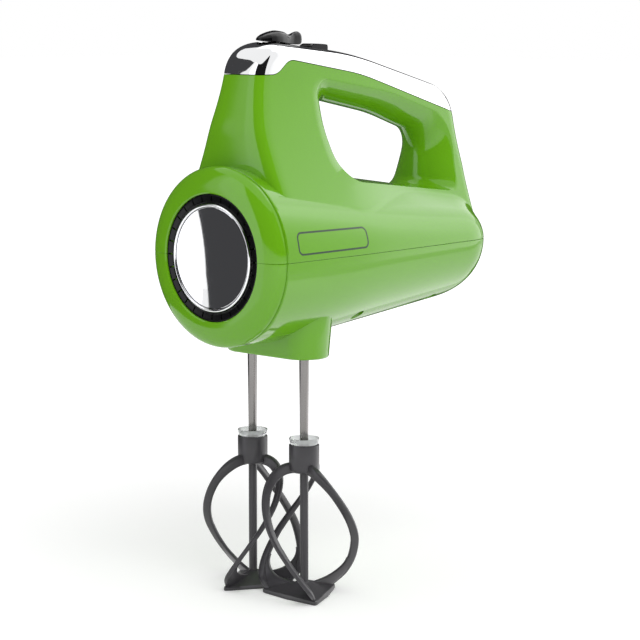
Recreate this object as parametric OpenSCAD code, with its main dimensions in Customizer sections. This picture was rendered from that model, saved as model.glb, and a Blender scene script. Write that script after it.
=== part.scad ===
// Electric hand mixer: a barrel-shaped motor housing with a looped handle, a worm drive that
// turns two counter-rotating beaters, a speed selector, a turbo button and a beater ejector.
// Frame: the nose faces -Y, the motor axis runs along Y, +Z is up, and z = 0 is the floor under
// the beater tips. Depths called "d" are measured from the front face of the nose towards the heel.

/* [Body] */
// Length of the body from nose to heel
body_l = 190; // [182:1:200]
// Diameter of the round head behind the nose
head_d = 96; // [92:0.5:100]
// Diameter of the front recess that takes the vent ring
face_d = 68; // [62:0.5:70]
// Depth of the rounded bezel round the front recess
bezel_l = 7.5; // [6:0.5:9]
// Greatest width of the barrel
barrel_w = 97; // [94:0.5:102]
// Fall of the barrel's top line towards the heel, per mm
top_fall = 0.13; // [0.12:0.005:0.15]
// Rise of the belly towards the heel, per mm
belly_rise = 0.1; // [0.09:0.001:0.12]
// Narrowing of each side towards the heel, per mm
side_taper = 0.054; // [0.03:0.002:0.08]
// Length of the rounded heel
heel_l = 28; // [22:1:34]
// Wall thickness of the moulded housings
wall = 2.4; // [2:0.1:3]
// Gap along the parting lines of the housing
part_gap = 0.3; // [0.2:0.05:0.5]

/* [Handle] */
// Width of the grip between its flat sides
grip_w = 31; // [28:0.5:34]
// Height of the grip's crest above the motor axis
crest_h = 113; // [110:0.5:118]
// Height of the grip between its crest and the top of the hand hole, at its front
grip_h = 19; // [17:0.5:23]
// Depth of the front edge of the hand hole
hole_front = 67; // [64:0.5:74]
// Thickness of the rear column between the hand hole and the heel
rear_post = 14; // [13:0.5:18]
// How far the underside of the grip bulges below its side edge
grip_bulge = 12.5; // [9:0.5:14]
// Depth of the rounding over the grip's top and outer edges
crown = 9.5; // [8:0.5:11]
// Half-width that the front column gains at its foot
front_flare = 13.5; // [10:0.5:15]
// Half-width that the rear column gains at its foot
rear_flare = 13.5; // [10:0.5:15]

/* [Beaters] */
// Distance between the two beater shafts
beater_gap = 39; // [38:0.5:42]
// Depth of the beater shafts behind the nose
beater_d = 51; // [48:0.5:54]
// Height of the boss underside above the beater tips
boss_z = 131.5; // [125:0.5:140]
// Height of the motor axis above the boss underside
axis_rise = 56; // [54:0.5:58]
// Diameter of a beater shaft inside its spindle
shaft_d = 5.2; // [4.8:0.1:5.6]
// Greatest radius of a beater cage
cage_r = 29.8; // [28:0.2:30.6]
// Height of the beater hub underside above the tips
hub_z = 74; // [70:0.5:80]
// Diameter of the beater hub
hub_d = 16.4; // [14:0.2:17]
// Height of the beater hub
hub_h = 9.8; // [8:0.5:12]
// Radial width of a cage blade
blade_w = 4.6; // [3.6:0.2:5]
// Thickness of a cage blade
blade_t = 3; // [2:0.2:3.4]
// Turn of each blade round the shaft between hub and foot, in degrees
blade_twist = 107; // [100:1:114]
// Diameter of the rod down the middle of a cage
core_d = 4.6; // [4:0.2:5.4]

/* [Drive] */
// Teeth on each worm wheel
wheel_teeth = 30; // [28:1:32]
// Thickness of a worm wheel
wheel_t = 6; // [5:0.5:7]
// Outer diameter of the spindle sleeves
spindle_d = 9; // [8.6:0.2:9.4]
// Radial running clearance of the shafts in their bores
run_gap = 0.05; // [0.03:0.01:0.08]
// Diameter of the motor shaft
motor_shaft_d = 5; // [4.4:0.2:5.6]
// Diameter of the armature
armature_d = 29; // [27:0.5:31]
// Length of the laminated stack
stack_l = 28; // [24:1:32]
// Air gap between armature and stator
air_gap = 0.5; // [0.4:0.1:0.8]
// Diameter of the cooling fan
fan_d = 43; // [38:0.5:44]
// Travel of the beater ejector
eject_travel = 7; // [5:0.5:8]

/* [Controls] */
// Length of the speed selector
selector_l = 30; // [28:0.5:31]
// Width of the speed selector
selector_w = 15; // [12:0.5:17]
// Travel of the speed selector
selector_travel = 8; // [6:0.5:9]
// Length of the turbo button
button_l = 18; // [15:0.5:19]
// Width of the turbo button
button_w = 14; // [10:0.5:16]
// Travel of the turbo button
button_travel = 2; // [1.5:0.1:2.4]
// Diameter of the cord that the rear bush takes
cord_d = 6.6; // [6:0.1:7.4]

/* [Hidden] */

$fn = 48;
axis_z = boss_z + axis_rise;
green = "#76b82a";
dark = "#4a4a4d";
steel = "#a8a8ac";
chrome = "#d9dadc";
black = "#151516";
copper = "#b87333";

// ---------- Lofts and outlines ----------

function mix(a, b, t) = a + (b - a) * t;
function clamp01(t) = min(1, max(0, t));
function smooth01(t) = clamp01(t) * clamp01(t) * (3 - 2 * clamp01(t));
// Nothing for values well below zero, the value itself well above it
function soft_excess(t, k = 15) = (t + sqrt(t * t + k * k)) / 2;
function unit(v) = v / norm(v);
function right_of(v) = [v[1], -v[0]];

// The y position of a depth behind the nose
function at_d(d) = d - body_l / 2;

// Closed surface through rings of points, either capped at both ends or joined into a loop
module skin(rings, loop = false) {
    n = len(rings);
    m = len(rings[0]);
    sides = [for (i = [0 : n - (loop ? 1 : 2)], j = [0 : m - 1])
        let (a = i * m + j, b = i * m + (j + 1) % m, k = ((i + 1) % n) * m)
        each [[a, b, k + (j + 1) % m], [a, k + (j + 1) % m, k + j]]];
    caps = loop ? [] : [[for (j = [m - 1 : -1 : 0]) j], [for (j = [0 : m - 1]) (n - 1) * m + j]];
    polyhedron(points = [for (r = rings) each r], faces = concat(sides, caps), convexity = 12);
}

// Arc that rounds corner c of an outline between its neighbours p and n
function corner_arc(p, c, n, steps) =
    let (a = unit([p[0] - c[0], p[1] - c[1]]), b = unit([n[0] - c[0], n[1] - c[1]]),
         half = acos(a * b) / 2, hub = [c[0], c[1]] + unit(a + b) * c[2] / sin(half),
         u = [c[0], c[1]] + a * c[2] / tan(half) - hub, turn = cross(a, b) > 0 ? 1 : -1,
         sweep = 180 - 2 * half)
    [for (i = [0 : steps]) let (t = turn * -sweep * i / steps)
        hub + [u[0] * cos(t) - u[1] * sin(t), u[0] * sin(t) + u[1] * cos(t)]];

// Outline with rounded corners [along, up, radius]; mids extra points lie on each straight
function rounded(c, steps = 4, mids = 0) =
    let (n = len(c),
         arcs = [for (i = [0 : n - 1]) corner_arc(c[(i + n - 1) % n], c[i], c[(i + 1) % n], steps)])
    [for (i = [0 : n - 1]) each concat(arcs[i],
        [for (k = [1 : 1 : mids]) mix(arcs[i][steps], arcs[(i + 1) % n][0], k / (mids + 1))])];

// Corners moved inwards by b; the outline runs clockwise
function inset(c, b) =
    let (n = len(c))
    [for (i = [0 : n - 1])
        let (p = c[(i + n - 1) % n], q = c[i], s = c[(i + 1) % n],
             n1 = right_of(unit([q[0] - p[0], q[1] - p[1]])),
             n2 = right_of(unit([s[0] - q[0], s[1] - q[1]])),
             v = [q[0], q[1]] + b * (n1 + n2) / (1 + n1 * n2))
        [v[0], v[1], max(q[2] - b, 2)]];

// ---------- Barrel ----------

shell_l = body_l - 1;
hole_top = crest_h - grip_h;
head_r = head_d / 2;
face_r = face_d / 2;
heel_power = 3.2;

function half_w(d) = barrel_w / 2 - side_taper * soft_excess(d - 75);
function rise_up(d) = head_r - top_fall * (d - bezel_l);
function drop_down(d) = head_r - belly_rise * soft_excess(d - 50);

// Section of the barrel at depth d, shrunk by scale about the axis and inwards by t
function barrel_ring(d, t, scale = 1, n = 36) = [for (i = [0 : n - 1])
    let (a = 360 * i / n, up = sin(a) > 0 ? rise_up(d) : drop_down(d))
    [(half_w(d) * scale - t) * cos(a), at_d(d), axis_z + (up * scale - t) * sin(a)]];

function round_ring(d, r, n = 36) = [for (i = [0 : n - 1])
    [r * cos(360 * i / n), at_d(d), axis_z + r * sin(360 * i / n)]];

// Rings of the rounded heel: depth and scale follow a superellipse
function heel_rings(t, steps, n) = [for (i = [1 : steps])
    let (a = 87 * i / steps)
    barrel_ring(shell_l - heel_l + (heel_l - t) * pow(sin(a), 2 / heel_power), t,
                pow(cos(a), 2 / heel_power) + (i == steps ? t / 45 : 0), n)];

module barrel_solid() skin(concat(
    [for (i = [0 : 5]) let (a = 15 * i + 15)
        round_ring(bezel_l * (1 - cos(a - 15)), face_r + (head_r - face_r) * sin(a - 15))],
    [round_ring(bezel_l, head_r), round_ring(bezel_l + 0.3, head_r - 0.9),
     round_ring(bezel_l + 0.9, head_r - 0.9)],
    [for (d = [bezel_l + 1.3, 25, 50, 75, 100, 125, 145, shell_l - heel_l]) barrel_ring(d, 0)],
    heel_rings(0, 7, 36)));

module barrel_cavity() skin(concat(
    [round_ring(wall + 1.6, face_r - 1, 28), round_ring(bezel_l + wall, head_r - wall - 0.9, 28)],
    [for (d = [22, 50, 75, 110, 140, shell_l - heel_l]) barrel_ring(d, wall, 1, 28)],
    heel_rings(wall, 4, 28)));

// The barrel's inner form grown a little, so that ribs and bosses bite into the wall
module barrel_inside() skin(concat(
    [round_ring(wall + 1.2, face_r, 28), round_ring(bezel_l + wall, head_r - wall / 2 - 0.5, 28)],
    [for (d = [22, 50, 75, 110, 140, shell_l - heel_l]) barrel_ring(d, wall / 2, 1, 28)],
    heel_rings(wall / 2, 4, 28)));

// ---------- Handle loop ----------

// Corners [depth, height above the axis, radius], clockwise from the foot of the front column
hole_rim = [
    [hole_front + 8.8, rise_up(hole_front + 8.8), 20],
    [hole_front + 1.2, hole_top - 23.5, 200],
    [hole_front - 2.5, hole_top, 9],
    [hole_front + 58, hole_top - 10, 150],
    [body_l - rear_post + 1, hole_top - 26, 22],
    [body_l - rear_post - 0.2, hole_top - 46, 100],
    [body_l - rear_post - 3.5, rise_up(body_l - rear_post - 3.5) - 0.2, 8]];

// How far each rim corner moves towards the middle of the hole on the mid-plane
bulge = [[9, 1.5], [9, 0], [10.5, -grip_bulge], [0, -grip_bulge], [-13.5, -grip_bulge + 3],
         [-13.5, 0], [-12.5, 2.5]];
hole_mid = [for (i = [0 : 6]) [hole_rim[i][0] + bulge[i][0], hole_rim[i][1] + bulge[i][1],
    max(hole_rim[i][2] - 6, 6)]];

crest = [
    [12.5, 2, 4],
    [14.8, 72, 60],
    [28.8, crest_h + 1, 18],
    [101.5, crest_h - 7.2, 250],
    [body_l - 6, crest_h - 29.5, 14],
    [body_l - 0.7, 41, 60],
    [body_l - 1.2, 2, 4]];

// The column's nose has a flatter face and tighter corners than the grip's crown
function crown_power(d) = mix(0.45, 0.8, smooth01((d - 25) / 25));

// Half-width of the handle and its columns at depth d and height z
function side_w(d, z) =
    let (front = grip_w / 2 - 1 + front_flare * max(0, (axis_z + hole_top + 2 - z) / (hole_top + 2 - head_r + 6)),
         rear = grip_w / 2 + rear_flare * pow(max(0, (axis_z + hole_top - 19.5 - z) / (hole_top - 35)), 1.6))
    mix(front, rear, smooth01((d - 18) / (hole_front - 18)));

// Sections round the loop: bulged inside, flat sides, crowned outside; t shrinks the solid
function loop_rings(t, steps, mids, arc_in, arc_out) =
    let (rim = rounded(inset(hole_rim, -t), steps, mids),
         mid = rounded(inset(hole_mid, -t), steps, mids),
         flat = rounded(inset(crest, crown), steps, mids),
         top = rounded(inset(crest, t), steps, mids))
    [for (i = [0 : len(rim) - 1])
        let (half = concat(
                [for (k = [0 : arc_in]) let (a = 90 - 90 * k / arc_in)
                    [cos(a), mix(rim[i], mid[i], sin(a))]],
                [[1, mix(rim[i], flat[i], 0.5)]],
                [for (k = [0 : arc_out]) let (a = 90 * k / arc_out, p = crown_power(top[i][0]))
                    [pow(cos(a), p), mix(flat[i], top[i], pow(sin(a), p))]]),
             last = len(half) - 1,
             side = [for (h = half) [h[0] * (side_w(h[1][0], h[1][1] + axis_z) - t), h[1]]])
        concat([for (s = side) [s[0], at_d(s[1][0]), axis_z + s[1][1]]],
               [for (k = [last - 1 : -1 : 1])
                   [-side[k][0], at_d(side[k][1][0]), axis_z + side[k][1][1]]])];

module handle_solid() skin(loop_rings(0, 4, 1, 4, 4), loop = true);
module handle_cavity() skin(loop_rings(wall, 2, 1, 2, 2), loop = true);

// Inner form of the handle grown a little into its wall
module handle_inside() skin(loop_rings(wall / 2, 2, 1, 2, 2), loop = true);

// ---------- Places of the inner parts ----------

shaft_r = shaft_d / 2;
spindle_r = spindle_d / 2;
spindle_bore_r = shaft_r + run_gap;
motor_r = motor_shaft_d / 2;
bush_r = spindle_r + 2;
floor_t = 3;
fit_gap = 0.15;

wheel_pitch_r = beater_gap / 2 - 4;
tooth_pitch = 2 * PI * wheel_pitch_r / wheel_teeth;
wheel_tip_r = wheel_pitch_r + 0.55;
worm_r = 4.9;
worm_core_r = 3.2;
worm_l = 20;

plate_z = axis_z + 9.6;
plate_t = 3;
post_x = barrel_w / 2 - 8.5;
post_d = beater_d - 14;
post_r = 3.4;
rib_t = 3;
bearing_r = 5.5;
flange_r = 7;
front_rib_d = 28;
middle_rib_d = beater_d + wheel_tip_r + rib_t / 2 + 2;
fan_at = middle_rib_d + 6;
fan_t = 9;
stack_d = fan_at + fan_t + 9;
stack_w = 54;
stack_h = 46;
stack_bore_r = armature_d / 2 + air_gap;
winding_l = 6;
commutator_d = stack_d + stack_l + winding_l + 1;
commutator_l = 10;
commutator_r = 8;
bracket_d = commutator_d + commutator_l + 4;
bracket_t = 3;
shaft_end_d = bracket_d + 8;
brush_w = 5;
brush_l = 9;

shaft_top_z = boss_z + 47;
yoke_z = axis_z + 24;
yoke_t = 4;
guide_z = axis_z + 52;
spring_wire = 0.9;
rod_r = 3;
rod_top_z = axis_z + crest_h - 16;

louvre_d = 128;
screw_front = [28, 84];
screw_rear = [22, 152];
screw_seat_z = axis_z - 24;
screw_head_r = 3.3;
screw_r = 1.5;

cap_gap = part_gap;
selector_d = 37;
selector_tilt = 5;
button_d = 70.5;
block_d = 62;
block_l = 32;
block_w = 16;
block_h = 10;
block_z = axis_z + crest_h - 27;

// Moves its children to depth d behind the nose, height z and offset x
module place(d, z = 0, x = 0) translate([x, at_d(d), z]) children();
// Turns the children's +Z towards the heel
module lengthwise() rotate([-90, 0, 0]) children();
// A disc or tube on the motor axis, from depth d over length l
module axial(d, l, r, bore = 0) place(d, axis_z) lengthwise() difference() {
    cylinder(h = l, r = r);
    if (bore > 0) translate([0, 0, -1]) cylinder(h = l + 2, r = bore);
}
module both_sides() for (s = [-1, 1]) scale([s, 1, 1]) children();
module at_screws() for (p = [screw_front, screw_rear], s = [-1, 1]) place(p[1], 0, s * p[0]) children();

// ---------- Housings ----------

// Slice of the interior, thick along the motor axis, that a moulded rib fills
module rib(d, t = rib_t) intersection() {
    children();
    place(d - t / 2, axis_z - 100, -100) cube([200, t, 200]);
}

// Everything that passes through or sits in the ribs of both housings
module drive_space() {
    for (d = [front_rib_d, middle_rib_d]) axial(d - rib_t, 2 * rib_t, bearing_r + fit_gap);
    place(stack_d - 10, axis_z - stack_h / 2 - fit_gap, -stack_w / 2 - fit_gap)
        cube([stack_w + 2 * fit_gap, stack_l + 60, stack_h + 2 * fit_gap]);
    place(beater_d, axis_z - 60) cylinder(h = 60 + 24 + 20, r = rod_r + 1);
}

// Round opening of the nose behind the vent ring
module nose_opening() {
    axial(-1, 3.5, face_r - 0.1);
    axial(-1, wall + 6, face_r - 3.05);
}

// Height of the cap's lower edge above the axis along the grip
function cap_edge(d) = mix(crest_h - 17.1, crest_h - 50.5, (d - 101) / (body_l - 81));

// Space above the cap's lower edge, which steps up behind the nose and then follows the grip
module cap_region(gap = 0) place(0, axis_z) rotate([90, 0, 90]) linear_extrude(120, center = true)
    offset(delta = gap) polygon(rounded([[-20, crest_h - 17.5, 1], [36.5, crest_h - 17.5, 8],
        [46, crest_h - 9.1, 7], [101, cap_edge(101), 120], [body_l + 20, cap_edge(body_l + 20), 1],
        [body_l + 20, crest_h + 50, 1], [-20, crest_h + 50, 1]]));

// Boss under the head that holds the lower ends of both beater spindles
module boss(t, top) hull() for (s = [-1, 1]) place(beater_d, boss_z + t, s * beater_gap / 2) {
    cylinder(h = 1.2, r1 = 12.4 - t, r2 = 13.4 - t, $fn = 32);
    cylinder(h = top, r1 = 13.4 - t, r2 = 15.2 - t, $fn = 32);
}

module bushing_seats() for (s = [-1, 1]) place(beater_d, boss_z - 1, s * beater_gap / 2)
    cylinder(h = floor_t + 2, r = bush_r + fit_gap, $fn = 36);

// Slots in the belly let the cooling air in
module belly_louvres() for (i = [-4 : 4]) place(louvre_d, axis_z - 60, i * 5) hull() for (e = [-9, 9])
    translate([0, e, 0]) cylinder(h = 45, r = 1.1, $fn = 12);

// Posts that carry the gear plate, standing a little above the parting plane
module plate_posts() for (s = [-1, 1]) place(post_d, axis_z - 12, s * post_x)
    cylinder(h = plate_z - fit_gap - axis_z + 12, r = post_r, $fn = 24);

// Belly of the barrel with the boss, ribs, screw posts and air slots
module lower_housing() color(green) difference() {
    union() {
        difference() {
            union() {
                barrel_solid();
                boss(0, 22);
            }
            barrel_cavity();
            boss(floor_t, 24);
            nose_opening();
        }
        difference() {
            union() {
                rib(front_rib_d) barrel_inside();
                rib(middle_rib_d) barrel_inside();
                rib(stack_d + 5, 2) barrel_inside();
                rib(stack_d + stack_l - 5, 2) barrel_inside();
            }
            drive_space();
            boss(floor_t, 24);
        }
        intersection() {
            barrel_inside();
            union() {
                at_screws() translate([0, 0, axis_z - 60]) cylinder(h = 60, r = 5, $fn = 24);
                for (s = [-1, 1]) place(post_d, axis_z - 60, s * post_x)
                    cylinder(h = 60, r = post_r, $fn = 24);
            }
        }
        plate_posts();
    }
    // Parting plane, with the plate posts left standing
    difference() {
        place(-20, axis_z - part_gap / 2, -100) cube([200, body_l + 40, 200]);
        plate_posts();
    }
    bushing_seats();
    belly_louvres();
    at_screws() {
        translate([0, 0, axis_z - 70]) cylinder(h = 70 - 24, r = screw_head_r + 0.4, $fn = 24);
        translate([0, 0, axis_z - 30]) cylinder(h = 40, r = screw_r + fit_gap, $fn = 16);
    }
    heel_pocket();
}

// Blind tower for a housing screw
module screw_tower() translate([0, 0, axis_z]) cylinder(h = 50, r = 4.4, $fn = 24);

// Socket inside the heel that holds the cord bush in line
module bush_socket() place(bush_d - 8, bush_z) lengthwise()
    cylinder(h = 20, r = cord_r + 1.8 + fit_gap + 1.8, $fn = 32);

// Common skin of the barrel and the handle loop on it
module body_skin() difference() {
    union() {
        barrel_solid();
        handle_solid();
    }
    barrel_cavity();
    handle_cavity();
}

// Plane just above the floor of the hand hole, where the handle is joined to the barrel
function root_z(d) = let (a = hole_mid[0], b = hole_mid[6])
    mix(a[1], b[1], (d - a[0]) / (b[0] - a[0])) + 0.5;

module above_root() place(0, axis_z) rotate([90, 0, 90]) linear_extrude(200, center = true)
    polygon([[-20, root_z(-20)], [body_l + 20, root_z(body_l + 20)],
             [body_l + 20, crest_h + 50], [-20, crest_h + 50]]);

// Upper half of the barrel with the screw towers and the cord bush's socket
module upper_housing() color(green) difference() {
    union() {
        difference() {
            body_skin();
            nose_opening();
            above_root();
        }
        difference() {
            union() {
                rib(front_rib_d) barrel_inside();
                rib(middle_rib_d) barrel_inside();
                rib(stack_d + 5, 2) barrel_inside();
                rib(stack_d + stack_l - 5, 2) barrel_inside();
            }
            drive_space();
        }
        intersection() {
            barrel_inside();
            union() {
                at_screws() screw_tower();
                bush_socket();
            }
        }
    }
    place(-20, axis_z + part_gap / 2 - 200, -100) cube([200, body_l + 40, 200]);
    at_screws() translate([0, 0, axis_z - 30]) cylinder(h = 42, r = screw_r, $fn = 16);
    cord_opening();
    heel_pocket();
}

// Hollow columns and grip that carry the cap
module handle_shell() color(green) difference() {
    union() {
        intersection() {
            body_skin();
            above_root();
        }
        intersection() {
            handle_inside();
            union() {
                difference() {
                    // Shelf that guides the ejector rod and carries its spring
                    place(0, guide_z, -50) cube([100, hole_front + 20, 3]);
                    place(beater_d, guide_z - 5) cylinder(h = 20, r = rod_r + 0.4, $fn = 24);
                    place(24, guide_z - 5) cylinder(h = 20, r = 5, $fn = 24);
                }
                // Two seats under the switch block
                for (d = [block_d + 4, block_d + block_l - 6]) place(d, block_z - 0.2 - 6, -30)
                    cube([60, 2, 6]);
            }
        }
    }
    cap_region(cap_gap);
}

function catch_d(i) = mix(112, body_l - 34, i / 3);

// Snap hook i of one side, hanging from the cap's wall into the handle
module cap_catch(i) let (d = catch_d(i), z = axis_z + cap_edge(d), x = side_w(d, z) - wall)
    place(d, z, x - 3.4) hull() {
        translate([0, -2, -2.8]) cube([1.4, 4, 2.8]);
        translate([0, -2, 2.3]) cube([3.4 + wall / 2, 4, 2]);
    }

// Plated cover of the grip's crest, hooked into the handle
module handle_cap() color(chrome) difference() {
    union() {
        intersection() {
            difference() {
                handle_solid();
                handle_cavity();
            }
            cap_region();
        }
        both_sides() for (i = [0 : 3]) cap_catch(i);
    }
    selector_slot();
    button_slot();
}

// Slot that the selector's stems run in
module selector_slot() hull() for (d = [selector_d + 6 - selector_travel, selector_d + selector_l - 8])
    place(d, axis_z + crest_h - 20) cylinder(h = 40, r = 3.4, $fn = 20);

module button_slot() place(button_d - 0.3, axis_z + crest_h - 30, -button_w / 2 - 0.3)
    cube([button_w + 0.6, button_l + 0.6, 60]);

// ---------- Rear fittings ----------

bush_d = body_l - 7;
bush_z = axis_z + 11;
cord_r = cord_d / 2;
plate_w = 44;
plate_h = 20;
heel_t = 5;
heel_z = axis_z - 13;

// Block w wide, l across and h thick with rounded upright edges
module rounded_block(w, l, h, r) linear_extrude(h) {
    square([w - 2 * r, l], center = true);
    square([w, l - 2 * r], center = true);
    for (x = [-1, 1], y = [-1, 1]) translate([x * (w / 2 - r), y * (l / 2 - r)]) circle(r = r);
}

// Stepped bore that takes the cord bush and its outer lip
module cord_opening() {
    place(bush_d - 12, bush_z) lengthwise() cylinder(h = 40, r = cord_r + 1.8 + fit_gap, $fn = 32);
    place(bush_d + 3.4, bush_z) lengthwise() cylinder(h = 40, r = cord_r + 4 + fit_gap, $fn = 32);
}

// Grommet that lines the cord's way out, with a lip on each side of the wall
module cord_bush() color(black) place(bush_d, bush_z) lengthwise() difference() {
    union() {
        translate([0, 0, -2]) cylinder(h = 8, r = cord_r + 1.8);
        translate([0, 0, 3.5]) cylinder(h = 2.4, r = cord_r + 4);
    }
    translate([0, 0, -5]) cylinder(h = 20, r = cord_r);
}

module heel_pocket() place(body_l - heel_t - fit_gap, heel_z) lengthwise()
    rounded_block(plate_w + 2 * fit_gap, plate_h + 2 * fit_gap, 20, 6);

// Flat foot that the mixer stands on when it is set down on its heel
module heel_plate() color(green) place(body_l - heel_t, heel_z) lengthwise()
    rounded_block(plate_w, plate_h, heel_t, 6);

module housing_screws() color(steel) at_screws() {
    translate([0, 0, screw_seat_z - 2.4]) cylinder(h = 2.4, r = screw_head_r);
    translate([0, 0, screw_seat_z - 0.1]) cylinder(h = 24 + 11.5, r = screw_r - 0.1);
}

// ---------- Nose trim ----------

ring_in_r = face_r * 0.845;
vent_slots = 28;

// Glossy ring round the badge, cut by radial slots that let the cooling air out
module vent_ring() color(black) place(0, axis_z) lengthwise() difference() {
    rotate_extrude() polygon([[0, 4], [ring_in_r, 4], [ring_in_r + 0.2, 1.6], [ring_in_r + 0.8, 1.2],
        [face_r - 0.9, 1.2], [face_r - 0.25, 1.4], [face_r - 0.25, 2.3], [face_r - 3.2, 2.3],
        [face_r - 3.2, 6.5], [face_r - 4.2, 6.5], [face_r - 4.2, 5.5], [0, 5.5]]);
    for (i = [0 : vent_slots - 1]) rotate([0, 0, 360 * i / vent_slots])
        translate([ring_in_r + 1.2, -0.7, -1]) cube([face_r - 3.9 - ring_in_r + 0.4, 1.4, 10]);
}

// Bright bead between the vent ring and the disc
module badge_ring() color(chrome) place(0, axis_z) lengthwise() rotate_extrude()
    polygon([[ring_in_r - 1.7, 3.9], [ring_in_r - 1.7, 1.1], [ring_in_r - 1.2, 0.6],
             [ring_in_r - 0.5, 0.5], [ring_in_r - 0.1, 0.9], [ring_in_r - 0.1, 3.9]]);

disc_r = ring_in_r - 1.85;
disc_edge = 1.2;
disc_sag = 1.6;

// Polished disc, dished like a shallow bowl
module badge_disc() color(chrome) place(0, axis_z) lengthwise() rotate_extrude()
    polygon(concat([[0, 3.9]],
        [for (i = [0 : 10]) let (u = i / 10) [disc_r * u, disc_edge + disc_sag * (1 - u * u)]],
        [[disc_r, 3.9]]));

// ---------- Controls ----------

// Ring of the selector at distance t along its length, w wide and h high
function selector_ring(t, w, h, lift) = [for (i = [0 : 15])
    let (a = 180 * i / 15) [w / 2 * cos(a), t, (i == 0 || i == 15 ? 0 : h * pow(sin(a), 0.7)) + lift]];

module tilted_top() place(selector_d, axis_z + crest_h + 0.2) rotate([-selector_tilt, 0, 0]) children();

// Thumb slide: a dome in front, a dip for the thumb and an upturned horn behind
module speed_selector() color(black) {
    l = selector_l;
    w = selector_w;
    tilted_top() {
        skin([for (s = [[0.00, 0.30, 0.4, 0], [0.04, 0.62, 1.6, 0], [0.12, 0.82, 3.0, 0],
                        [0.24, 0.95, 4.5, 0], [0.38, 1.00, 5.4, 0], [0.50, 1.00, 5.4, 0],
                        [0.62, 0.98, 4.5, 0], [0.74, 0.94, 3.8, 0], [0.84, 0.90, 4.4, 0],
                        [0.93, 0.84, 6.0, 0], [0.99, 0.70, 6.1, 1.2], [1.00, 0.50, 4.2, 2.2]])
            selector_ring(s[0] * l, s[1] * w, s[2], s[3])]);
        for (t = [8, l - 10]) hull() for (e = [-1, 1])
            translate([0, t + e, -12]) cylinder(h = 12.2, r = 1.8, $fn = 16);
        translate([-5, 4, -10.5]) cube([10, l - 10, 2]);
    }
}

// Push button flush in the cap, on a skirt that stops it from falling out
module turbo_button() color(black) place(button_d, axis_z + crest_h - 4.2) difference() {
    union() {
        rotate([90, 0, 90]) translate([0, 0, -button_w / 2]) linear_extrude(button_w)
            polygon([[0, -5], [0, 0.3], [3.4, 1.2], [button_l - 0.6, 0.5], [button_l, 0], [button_l, -5]]);
        translate([-button_w / 2 - 1, 1, -7.4]) cube([button_w + 2, button_l - 2, 1.6]);
        translate([-button_w / 2 + 2, 2, -7]) cube([button_w - 4, button_l - 4, 4]);
    }
    translate([0, button_l / 2, -10]) cylinder(h = 6, r = 2.6);
}

// Coil spring as a swept ring of four-sided sections
module coil(r, wire, turns, h, per_turn = 10) {
    n = turns * per_turn;
    skin([for (i = [0 : n]) let (a = 360 * i / per_turn, z = mix(wire / 2, h - wire / 2, i / n))
        [for (q = [45 : 90 : 315]) let (p = r + wire * 0.6 * cos(q))
            [p * cos(a), p * sin(a), z + wire * 0.6 * sin(q)]]]);
}

module turbo_spring() color(steel) place(button_d + button_l / 2, block_z + block_h + 0.15)
    coil(1.9, 0.5, 3, 5);

// Housing of the speed switch, with a groove for the selector's stem
module switch_block() color(dark) place(block_d, block_z, -block_w / 2) difference() {
    cube([block_w, block_l, block_h]);
    translate([block_w / 2 - 2, -1, block_h - 3]) cube([4, 14, 4]);
}

// ---------- Motor ----------

// Shaft that carries fan, armature, commutator and worm
module motor_shaft() color(steel) axial(front_rib_d - 4, shaft_end_d - front_rib_d + 4, motor_r);

worm_links = 14;
worm_turns = 5;
worm_steps = worm_links * worm_turns;

// Single-start worm; its ridge is joined from short tapered links
module worm() color(steel) place(beater_d - worm_l / 2, axis_z) lengthwise() difference() {
    union() {
        cylinder(h = worm_l, r = worm_core_r, $fn = 32);
        for (i = [0 : worm_steps - 1]) hull() {
            worm_link(i);
            worm_link(i + 1);
        }
    }
    translate([0, 0, -1]) cylinder(h = worm_l + 2, r = (motor_r + 0.02) / cos(180 / 32), $fn = 32);
}

// Tooth section of the worm at step i, standing on the core
module worm_link(i) let (a = 360 * i / worm_links, turns = (i - worm_steps / 2) / worm_links)
    translate([0, 0, worm_l / 2 + turns * tooth_pitch]) rotate([0, 0, a]) rotate([90, 0, 0])
        linear_extrude(0.02) polygon([[worm_core_r - 0.5, -0.85], [worm_core_r - 0.5, 0.85],
            [worm_r, 0.3], [worm_r, -0.3]]);

module slotted_disc(r, slots, width, depth, mouth) difference() {
    circle(r = r);
    for (i = [0 : slots - 1]) rotate(360 * i / slots) {
        translate([r - depth - 0.8, -width / 2]) square([depth, width]);
        translate([r - 1.5, -mouth / 2]) square([3, mouth]);
    }
}

// Slotted iron core of the rotor
module armature() color(steel) place(stack_d, axis_z) lengthwise() linear_extrude(stack_l)
    difference() {
        slotted_disc(armature_d / 2, 12, 3, 5.5, 1.4);
        circle(r = motor_r);
    }

// Copper end turns at both ends of the armature
module windings() color(copper) for (s = [0, 1]) place(stack_d + s * stack_l, axis_z) lengthwise()
    scale([1, 1, s == 0 ? -1 : 1]) rotate_extrude()
        polygon([[motor_r + 1.2, 0.05], [armature_d / 2 - 1.2, 0.05], [armature_d / 2 - 1, winding_l * 0.5],
                 [armature_d / 2 - 3, winding_l], [motor_r + 3, winding_l * 0.9], [motor_r + 1.2, winding_l * 0.5]]);

module commutator() color(copper) place(commutator_d, axis_z) lengthwise() linear_extrude(commutator_l)
    difference() {
        slotted_disc(commutator_r, 12, 0.6, 1.2, 0.6);
        circle(r = motor_r);
    }

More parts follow.
